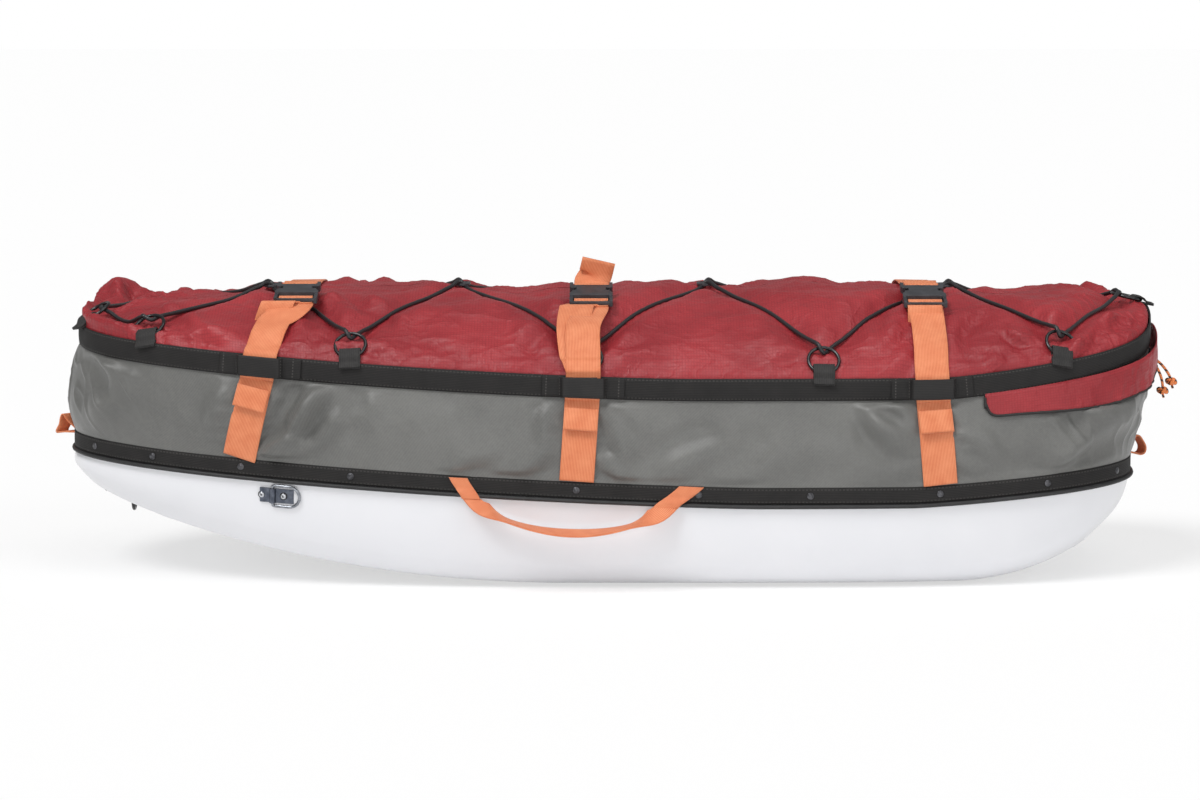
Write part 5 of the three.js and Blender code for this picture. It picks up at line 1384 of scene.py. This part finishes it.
def tail_run(name, frame, rows):
    """The strap's free end: from under the buckle's outer bar back down over the strap, aslant at first."""
    fan = tail_fans[name]
    begin = [
        (outer_bar_u + 1, second_lay + 1.2, -fan * 0.5),
        (outer_bar_u - 5, second_lay + 1.4, -fan * 0.85),
        (outer_bar_u - 12, second_lay + 1.4, -fan),
    ]
    over = webbing_thickness + 0.5
    tail_rows = rows[5:][::-1]
    above = len(tail_rows) - 6
    sway = np.concatenate([np.linspace(-0.65, -0.05, above), np.zeros(6)]) * fan
    stand = np.concatenate([np.linspace(1, 0.2, above) * 1.6, [0, 0, 0, 0.2, 0.8, 1.8]])
    return [in_buckle(frame, begin), lifted(tail_rows, over + stand, sway)], over


def tail_hem(rows, over):
    """The folded, sewn end of the tail: a second layer on it."""
    middles, sides = lifted(rows[5:8], over + webbing_thickness * 0.9)
    out = unit(np.cross(sides, np.gradient(middles, axis=0)))
    middles += out * np.array([[2.4], [1.2], [0.2]])
    middles[0] += (middles[1] - middles[0]) * -0.12
    return ribbon_mesh(eased(middles, 5), eased(sides, 5), strap_width - 0.4, 2.2)


def far_strap(name, frame):
    upper = second_lay + 0.35
    plug_start, plug_end = plug_bar_u - bar_half, plug_bar_u + bar_half
    if name == "middle":
        start = np.stack([np.array([0, 4.5, 9.0])[::-1], [56, 55.5, 51], [30, 12, upper * 2]], -1)
    else:
        start = np.array([[0, 59, upper], [0, 52, upper], [0, 47, upper]])
    turn = [
        (plug_end + 6, upper), (plug_end, plug_bar_high + wrap), (plug_start, plug_bar_high + wrap),
        (plug_start - wrap, plug_bar_high), (plug_start - wrap, lay + wrap), (plug_start, lay),
        (plug_end + 12, lay),
    ]
    begin = frame.at(*start.T)
    sides = np.broadcast_to(frame.axes[0], begin.shape)
    rows = strap_rows(name, 1)
    middles, across = lifted(rows)
    flip = np.array([1, -1, 1])
    x = strap_xs[name][2]
    crest = np.array([[middles[-1][0], 0, crest_at(x) + cord_tunnel + lay]])
    down = middles[::-1] * flip
    over_crest = (crest, np.array([[1.0, 0, 0]]))
    return [(begin, sides), in_buckle(frame, turn), over_crest, (down, across[::-1] * flip)]


def soft_edged(node, look, body="sled", width=0.5):
    """A piece in its CAD node's own shape, with worn, rounded edges."""
    source = frame["nodes"][node].data
    points = np.array([tuple(v.co) for v in source.vertices]) / mm
    mesh = new_mesh(points, [tuple(p.vertices) for p in source.polygons])
    work = bmesh.new()
    work.from_mesh(mesh)
    bmesh.ops.remove_doubles(work, verts=work.verts, dist=1e-6)
    bmesh.ops.dissolve_limit(work, angle_limit=0.02, verts=work.verts, edges=work.edges)
    sharp = [e for e in work.edges if len(e.link_faces) == 2 and e.calc_face_angle(0) > 0.6]
    bmesh.ops.bevel(
        work, geom=sharp, offset=width * mm, segments=2, affect="EDGES", profile=0.5, clamp_overlap=True
    )
    work.to_mesh(mesh)
    work.free()
    mesh.polygons.foreach_set("use_smooth", [False] * len(mesh.polygons))
    piece(f"{node}_body", mesh, look, body, [node])


for name in strap_places:
    place = buckle_frame(name)
    runs, rows = near_strap(name, place)
    tail, over = tail_run(name, place, rows)
    near, far = f"strap_{name}_near", f"strap_{name}_far"
    web = piece(f"{near}_web", strap_mesh(runs), orange_tape, None, [near])
    end = piece(f"strap_{name}_tail_web", strap_mesh(tail, True), orange_tape, None)
    for cloth in (web, end):
        tuple(place.at(0, -90, 0) * mm)
        tuple(place.at(0, -36, 0) * mm)
        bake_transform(cloth)
    piece(f"strap_{name}_tail_hem", tail_hem(rows, over), orange_tape)
    piece(f"{far}_web", strap_mesh(far_strap(name, place)), orange_tape, stands_for=[far])
    soft_edged(f"buckle_housing_{name}", black_plastic, f"housing_{name}")
    soft_edged(f"buckle_plug_{name}", black_plastic)

keeper_height = 24


def keeper_mesh(strap, side):
    """Webbing over a strap, and over its tail on the near side, sewn flat to the top band at both ends."""
    stack = 2 if side < 0 else 1
    high = band_out + strap_lift + stack * (webbing_thickness + fit_gap) + strap_lift + lay
    low = band_out + lay + 0.2
    half = [(18.5, high), (22.8, high - 0.6), (26.5, low + 0.3), (31, low), (38, low), (47, low)]
    outs = [*[(-aside, out) for aside, out in half[::-1]], (0, high + 0.3), *half]
    middle_x = strap_xs[strap][1]
    asides, away = np.array(outs, float).T
    x, y, out_x, out_y = bag.at(bag.place_of(middle_x + asides))
    z = band_z(x, y) - top_band_height / 2
    flip = np.array([1, -side, 1])
    middle = np.stack([x + out_x * away, y + out_y * away, z], -1) * flip
    upright = np.broadcast_to([0.0, 0, 1.0], middle.shape)
    return ribbon_mesh(eased(middle, 5), eased(upright, 5), keeper_height)


for label, side in side_of.items():
    for name in strap_places:
        node = f"keeper_{name}_{label}"
        piece(f"{node}_web", keeper_mesh(name, side), keeper_tape, stands_for=[node])


# Flap, zip and pulls

flap_start_x = 430
flap_drop = 36
flap_corner = 16
flap_gap = 0.9
flap_stand_off = 6.8
slider_drop = 22
slider_y = -40
slider_spread = 10


def skirt_fall(place, drop):
    """How far the skirt's outside lies from the bag's edge, a drop below the top band's foot."""
    x, y, out_x, out_y = bag.at(place)
    foot_x, foot_y, foot_out_x, foot_out_y = rim.at(place)
    height = band_low_z(x, y) - lower_band_top_z(foot_x)
    share = 1 - drop / height
    bow = smooth(hull_bow_x + bow_bulge_reach - foot_x, 0, bow_bulge_reach)
    bulge = (skirt_bulge + skirt_bow_bulge * bow) * np.sin(math.pi * share)
    low_x, low_y = foot_x + foot_out_x * hem_out, foot_y + foot_out_y * hem_out
    return (mix(low_x, x, share) - x) * out_x + (mix(low_y, y, share) - y) * out_y + bulge


flap_place = float(bag.place_of(flap_start_x))
corner_steps = np.array([0, 0.04, 0.1, 0.18, 0.28])
flap_middle = np.linspace(-flap_place + 0.4, flap_place - 0.4, 150)
flap_places = np.concatenate([-flap_place + corner_steps, flap_middle, flap_place - corner_steps[::-1]])[::-1]


def flap_point(place, drop):
    x, y, out_x, out_y = bag.at(place)
    share = clamp((x - flap_start_x) / (bag_stern_x - flap_start_x))
    out = skirt_fall(place, drop) + flap_gap + cloth_thickness + flap_stand_off * share**2
    hang = clamp(drop / flap_drop)
    out = out + waves(np.stack([x / 34, y / 34, drop / 60 + 0 * x], -1), 1.0, 31) * 1.8 * hang
    crumple = waves(np.stack([x / 15, y / 15, drop / 30 + 0 * x], -1), 1.0, 32)
    out = out + clamp(1 - np.abs(crumple) * 2) ** 2 * 1.8 * hang**0.5
    return np.stack([x + out_x * out, y + out_y * out, band_low_z(x, y) - fit_gap - drop], -1)


def flap_edge(place):
    """How far down the flap reaches: less in its rounded corners."""
    x = bag.xy(place)[0]
    from_end = clamp((x - flap_start_x) / flap_corner)
    corner = flap_corner * (1 - np.sqrt(1 - (1 - from_end) ** 2))
    return mix(24, flap_drop, smooth(x, flap_start_x, 600)) - corner


def flap_surface():
    edge = flap_edge(flap_places)
    shares = np.linspace(1, 0, 10)
    return np.array([flap_point(flap_places, edge * share - 2 * (share == 0)) for share in shares])


flap_points = flap_surface()
flap = piece("stern_flap_cloth", sheet_mesh(flap_points), red_cloth, stands_for=["stern_flap"])
thicken(flap, cloth_wall)
declare_sheet(flap_points)
hem_line = [flap_point(flap_places[:1], np.array([drop]))[0] for drop in (2, 8, 14)]
hem_line += list(flap_point(flap_places, flap_edge(flap_places)))
hem_line += [flap_point(flap_places[-1:], np.array([drop]))[0] for drop in (14, 8, 2)]
piece("stern_flap_piping", tube_mesh(eased(hem_line, 3), 1.7, 8), black_tape)


def slider_frame(k):
    """Where a zip slider sits: along the stern, up, and outward."""
    y = slider_y + (slider_spread if k == 2 else -slider_spread)
    place = np.interp(-y, -bag.y[:400], bag.place[:400])
    x, y, out_x, out_y = bag.at(place)
    fall = skirt_fall(place, slider_drop)
    seat = [x + out_x * fall, y + out_y * fall, band_low_z(x, y) - slider_drop]
    return Frame(seat, [-out_y, out_x, 0], [0, 0, 1], [out_x, out_y, 0])


pull_radius = 1.5
# The way of each pull's cord from its slider: outward, up, and aside toward the other pull.
pull_routes = {
    1: [
        (4, -9, 0), (7, -13, 0), (11.5, -18, 0.5), (15, -25, 1), (17.5, -33, 2), (18.5, -40, 3),
        (19, -47, 3.5),
    ],
    2: [
        (4, -9, 0), (8.5, -12.5, 0), (15, -17, 0.5), (21, -23, 1), (26, -30, 2), (29, -36, 3),
        (31, -42, 3.5),
    ],
}


def knot_mesh(centre, size):
    """An overhand knot: a fat cord wound round itself."""
    t = np.linspace(0, 2 * math.pi, 60, endpoint=False)
    x, y, z = np.sin(t) + 2 * np.sin(2 * t), np.cos(t) - 2 * np.cos(2 * t), -np.sin(3 * t) * 1.2
    return tube_mesh(centre + np.stack([x, y, z], -1) * size / 3.2, 2.1, 8, wrap=True)


for k in (1, 2):
    place = slider_frame(k)
    spread_side = 1 if k == 2 else -1
    away, drop, aside = np.array(pull_routes[k], float).T
    line = eased(place.at(-spread_side * aside, drop, away), 6)
    body = f"zip_runner_{k}"
    node = f"zip_pull_{k}"
    main = piece(f"{node}_cord", tube_mesh(line, pull_radius, 10), flecked_braid, body, [node])
    doubled = line[4:] + place.turn(2.9, 0, 0.4)
    other = piece(f"{node}_strand", tube_mesh(doubled, pull_radius, 10), flecked_braid, body)
    knot_centre = line[-3] + place.turn(1.2, 0, 0)
    knot = piece(f"{node}_knot", knot_mesh(knot_centre, 6.2), flecked_braid, body)
    for n, lean in ((1, -2.0), (2, 3.0)):
        low, tip = line[-1] + place.turn(lean * 0.6, -2, 0), line[-1] + place.turn(lean, -6, 1)
        stub = eased(np.array([line[-4], low, tip]), 5)
        piece(f"{node}_end_{n}", tube_mesh(stub, 1.3, 8), flecked_braid, body)
    soft_edged(f"zip_slider_{k}", black_plastic, body, 0.4)


# Handles, loops and fittings

handle_xs = [along_hull(share) for share in (0.372, 0.588)]
handle_width = 22
handle_drop = 33
# The place, slant and width of a handle's two sewn ends.
handle_ends = {"bow": (handle_xs[0] + 13, -15, 22), "stern": (handle_xs[1] - 37, 30, 29)}


def handle_mesh(side):
    """A carry handle: it hangs in an arc and turns edge-on in the middle."""
    ends = [rim.coarse(x) for x, _, _ in handle_ends.values()]
    share = np.linspace(0, 1, 61)
    hang = (1 - (2 * share - 1) ** 2) ** 0.8
    x = mix(ends[0][0], ends[1][0], share)
    z = mix(rim_z(ends[0][0]), rim_z(ends[1][0]), share) - fit_gap - handle_drop * hang
    out = mix(abs(ends[0][1]), abs(ends[1][1]), share) + bead_depth + fit_gap * 2
    heading = unit(np.stack([np.gradient(x), 0 * x, np.gradient(z)], -1))
    flat = smooth(hang, 0, 0.55)[:, None]
    level = np.where(share < 0.5, 1.0, -1.0)[:, None] * np.array([1.0, 0, -0.05])
    across = unit(mix(level, np.stack([-heading[:, 2], 0 * x, heading[:, 0]], -1), flat))
    lean = 1.36 * smooth(hang, 0.05, 0.7) + 0.12 * np.sin(share * 9)
    width = mix(mix(handle_ends["bow"][2], handle_ends["stern"][2], share), handle_width * 0.9, flat[:, 0])
    face = np.array([0.0, side, 0])
    half = across * np.cos(lean)[:, None] - face * np.sin(lean)[:, None]
    thick = across * np.sin(lean)[:, None] + face * np.cos(lean)[:, None]
    y = out + webbing_thickness / 2 + width / 2 * np.sin(lean)
    middle = np.stack([x, side * y, z], -1)
    section = np.stack([band_section(w, webbing_thickness) for w in width])
    return swept_mesh(middle, half, thick, section)


def pad_mesh(side, x, slant, width):
    """A handle's sewn end, on the lower band. slant moves its top along the band."""
    sewn = lower_band_out + lay
    rows = [(sewn, 23, 1), (sewn, 17, 0.78), (sewn, 11, 0.52), (6.5, 6, 0.26), (7.0, 3, 0.12), (7.1, -1, 0)]
    base = rim_z(x)
    middles = []
    for out, rise, share in rows:
        px, py, out_x, out_y = rim.at(rim.place_of(x + slant * share))
        middles.append([px + out_x * out, -side * (py + out_y * out), base + rise])
    sides = np.broadcast_to([1, 0, -0.05], (len(rows), 3))
    return ribbon_mesh(eased(middles, 4), eased(sides, 4), width, sheared=True)


for label, side in side_of.items():
    node = f"carry_handle_{label}"
    piece(f"{node}_web", handle_mesh(side), orange_tape, f"handle_{label}", [node])
    for end, sewn in handle_ends.items():
        piece(f"handle_pad_{end}_{label}", pad_mesh(side, *sewn), orange_tape)


def loop_mesh(frame, reach, rise, height, width):
    """A loop of webbing: two sewn layers that part into a round eye. frame's x points from its root."""
    radius = height / 2 - lay
    arc = np.linspace(-0.72 * math.pi, 0.72 * math.pi, 17)
    eye = [(reach + radius * math.cos(a), rise + radius * math.sin(a)) for a in arc]
    return folded_mesh(frame, [(-6, -1.4), (-2, -2.0), *eye, (-2, 2.0), (-6, 1.4)], width)


def folded_mesh(frame, line, width, turn=0.0):
    """Webbing that follows (out, up) points in a frame, turned toward the near side where it is free."""
    x, z = eased(np.array([(a, b, 0) for a, b in line], float), 4)[:, :2].T
    turns = turn * smooth(x, -1, 6)[:, None]
    side = unit(frame.axes[1] * np.cos(turns) - frame.axes[0] * np.sin(turns))
    return ribbon_mesh(frame.at(x, 0, z), side, width, sheared=True)


loop_width = 20
# The way of each loop's webbing, outward and up.
pull_loops = {
    "bow_loop": [
        (-6, -1.4), (-1, 2), (3, 9), (6, 16), (8.5, 17.5), (10.5, 14), (12, 6), (15.5, -1), (15, -4),
        (10, -3.5), (3, -3.2), (-6, -3.4),
    ],
    "stern_loop": [
        (-6, -1.4), (-1, 3), (3, 10), (7, 15.5), (11, 16), (15, 11), (19, 3), (18, -4), (13, -6.5),
        (7, -4.6), (1, -3.6), (-6, -3.4),
    ],
}
bow_seat = [hull_bow_x - lower_band_out - 2, 0, lower_band_top_z(hull_bow_x) - 4]
stern_seat = [hull_stern_x + lower_band_out + 2, 0, lower_band_top_z(hull_stern_x) - 4]
bow_frame = Frame(bow_seat, [-1, 0, 0], [0, 1, 0], [0, 0, 1])
stern_frame = Frame(stern_seat, [1, 0, 0], [0, 1, 0], [0, 0, 1])
for name, place, turn in (("bow_loop", bow_frame, 0.75), ("stern_loop", stern_frame, 0.4)):
    mesh = folded_mesh(place, pull_loops[name], loop_width, turn)
    piece(f"{name}_web", mesh, orange_tape, stands_for=[name])


lashing_share = 0.204
lashing_drop = 15
lashing_wire = 1.75
lashing_ring_height = 28
lashing_ring_reach = 34


def lashing_frame(side):
    """On the hull's side: toward the stern, up the side, and outward."""
    x = along_hull(lashing_share)
    place = float(rim.place_of(x))
    middle, top, ahead = side_point(place, 0.45), side_point(place, 1), side_point(place + 0.1, 1)
    up, along = unit(top - middle), unit(top - ahead)
    out = unit(np.cross(along, up))
    flip = np.array([1, -side, 1])
    return Frame((top - up * lashing_drop) * flip, along * flip, np.cross(out, along) * flip, out * flip)


tow_x = -566
tow_plate_length = 34
tow_wire = 2.2
tow_ring_height = 28
tow_ring_reach = 24
tow_ring_swing = 0.32
tow_loop_width = 25
tow_loop_reach = 12
tow_loop_height = 11


def tow_frame(x):
    """Under the bow: toward the stern, toward the near side, and downward."""
    slope = (keel_z(x + tow_plate_length) - keel_z(x - tow_plate_length)) / (2 * tow_plate_length)
    along = unit(np.array([1.0, 0, slope]))
    return Frame([x, 0, keel_z(x)], along, [0, -1, 0], unit(np.array([slope, 0, -1.0])))


def d_line(height, reach, wire):
    """The centre line of a D-ring whose straight bar lies across the origin."""
    half = height / 2 - wire
    far = reach - wire - half
    bow = [(far + half * math.cos(a), half * math.sin(a)) for a in np.linspace(-math.pi / 2, math.pi / 2, 15)]
    fold = wire * 1.2
    corner = [(far / 2, half), (fold, half), (fold * 0.3, half - fold * 0.3), (0, half - fold)]
    return np.array([*bow, *corner, (0, 0), *[(x, -y) for x, y in corner[::-1]]])


def screw(name, frame):
    """A domed screw head with a dark seal under it, and a small black dome on it that is painted shade for
    its socket.
    """
    ring = Frame(frame.at(0, 0, -0.25), *frame.axes)
    piece(f"{name}_seal", dome_mesh(ring, 4.4, 0.45), black_steel)
    piece(name, dome_mesh(frame, 3.4, 1.5), screw_steel)
    # Painted shade: a small black dome on top of the head stands for the shade inside the screw's socket.
    seat = Frame(frame.at(0, 0, 1.35), *frame.axes)
    piece(f"{name}_socket", dome_mesh(seat, 1.1, 0.35), black_steel)


for label, side in side_of.items():
    place = lashing_frame(side)
    soft_edged(f"lashing_plate_{label}", plate_steel, width=0.35)
    x, y = d_line(lashing_ring_height, lashing_ring_reach, lashing_wire).T
    ring = place.at(x - 5, y, 0.7 + lashing_wire)
    node = f"lashing_ring_{label}"
    mesh = tube_mesh(ring, lashing_wire, 12, wrap=True)
    piece(f"{node}_wire", mesh, bright_steel, f"d_ring_{label}", [node])
    for n, away in ((1, -18), (2, 8)):
        seat = Frame(place.at(away, 0, 2.5), *place.axes)
        screw(f"lashing_screw_{n}_{label}", seat)

place = tow_frame(tow_x)
soft_edged("tow_plate", black_steel, width=0.35)
x, y = d_line(tow_ring_height, tow_ring_reach, tow_wire).T
swing = math.pi / 2 - tow_ring_swing
ring = place.at(x * math.cos(swing), y, fit_gap + tow_wire + x * math.sin(swing))
piece("tow_ring_wire", tube_mesh(ring, tow_wire, 12, wrap=True), black_steel, "tow_d_ring", ["tow_ring"])
seat = tow_frame(tow_x - tow_plate_length / 2 - fit_gap)
loop_place = Frame(seat.at(0, 0, tow_loop_height / 2 + fit_gap), -seat.axes[0], *seat.axes[1:])
tow_loop = loop_mesh(loop_place, tow_loop_reach, 0, tow_loop_height, tow_loop_width)
piece("tow_loop_web", tow_loop, black_tape, stands_for=["tow_loop"])

for k in range(1, 5):
    soft_edged(f"centre_hook_{k}", black_plastic, width=0.6)

rivet_xs = [-597, -524, -419, -292, -35, 104, 231, 379, 504, 590]
for label, side in side_of.items():
    for n, x in enumerate(rivet_xs, 1):
        px, py, out_x, out_y = rim.at(float(rim.place_of(x)))
        flip = np.array([1, -side, 1])
        out = np.array([out_x, out_y, 0]) * flip
        away, seat_z = lower_band_out + 0.1, lower_band_z(px) + lower_band_height / 2
        seat = np.array([px + out_x * away, py + out_y * away, seat_z]) * flip
        place = Frame(seat, np.cross([0, 0, 1.0], out), [0, 0, 1], out)
        piece(f"rivet_{n}_{label}", dome_mesh(place, 2.6, 0.9, 1.4), rivet_steel)


# Light and floor


def add_lamp(name, direction, spread_angle, power):
    """A lamp that lights the whole floor alike, as the sun does. direction is from the object to the lamp."""
    data = bpy.data.lights.new(name, "SUN")
    data.energy = power
    data.angle = math.radians(spread_angle)
    lamp = bpy.data.objects.new(name, data)
    lamp.rotation_euler = Vector(direction).to_track_quat("Z", "Y").to_euler()
    bpy.context.scene.collection.objects.link(lamp)


def add_world():
    """Even light from all round, and pure white where the camera sees past the floor."""
    world = bpy.data.worlds.new("white")
    world.use_nodes = True
    tree = world.node_tree
    background = tree.nodes["Background"]
    rays = tree.nodes.new("ShaderNodeLightPath")
    level = tree.nodes.new("ShaderNodeMix")
    level.inputs[2].default_value = 0.27
    level.inputs[3].default_value = 1
    seen = tree.nodes.new("ShaderNodeMath")
    seen.operation = "MAXIMUM"
    background.inputs["Color"].default_value = (1, 1, 1, 1)
    tree.links.new(rays.outputs["Is Camera Ray"], seen.inputs[0])
    tree.links.new(rays.outputs["Is Transmission Ray"], seen.inputs[1])
    tree.links.new(seen.outputs[0], level.inputs[0])
    tree.links.new(level.outputs[0], background.inputs["Strength"])
    bpy.context.scene.world = world


add_world()
add_lamp("key", (-0.6, -0.75, 1.25), 24, 1.8)
add_lamp("fill", (0.9, -0.8, 0.6), 30, 0.45)
add_lamp("front", (0.1, -1.0, 0.03), 30, 0.8)
add_lamp("top", (0.2, -0.2, 1.0), 40, 0.75)
bpy.context.scene.view_settings.view_transform = "Standard"

floor_reach = 30000
floor_look = Look("white_floor", {"Base Color": (0.98, 0.98, 0.98, 1), "Roughness": 0.9})
floor_look.seen_white(0.6)
floor_corners = [(x * floor_reach, y * floor_reach, 0) for x, y in ((-1, -1), (1, -1), (1, 1), (-1, 1))]
floor = bpy.data.objects.new("floor", new_mesh(floor_corners, [(0, 1, 2, 3)]))
floor.data.materials.append(floor_look.material)
bpy.context.scene.collection.objects.link(floor)
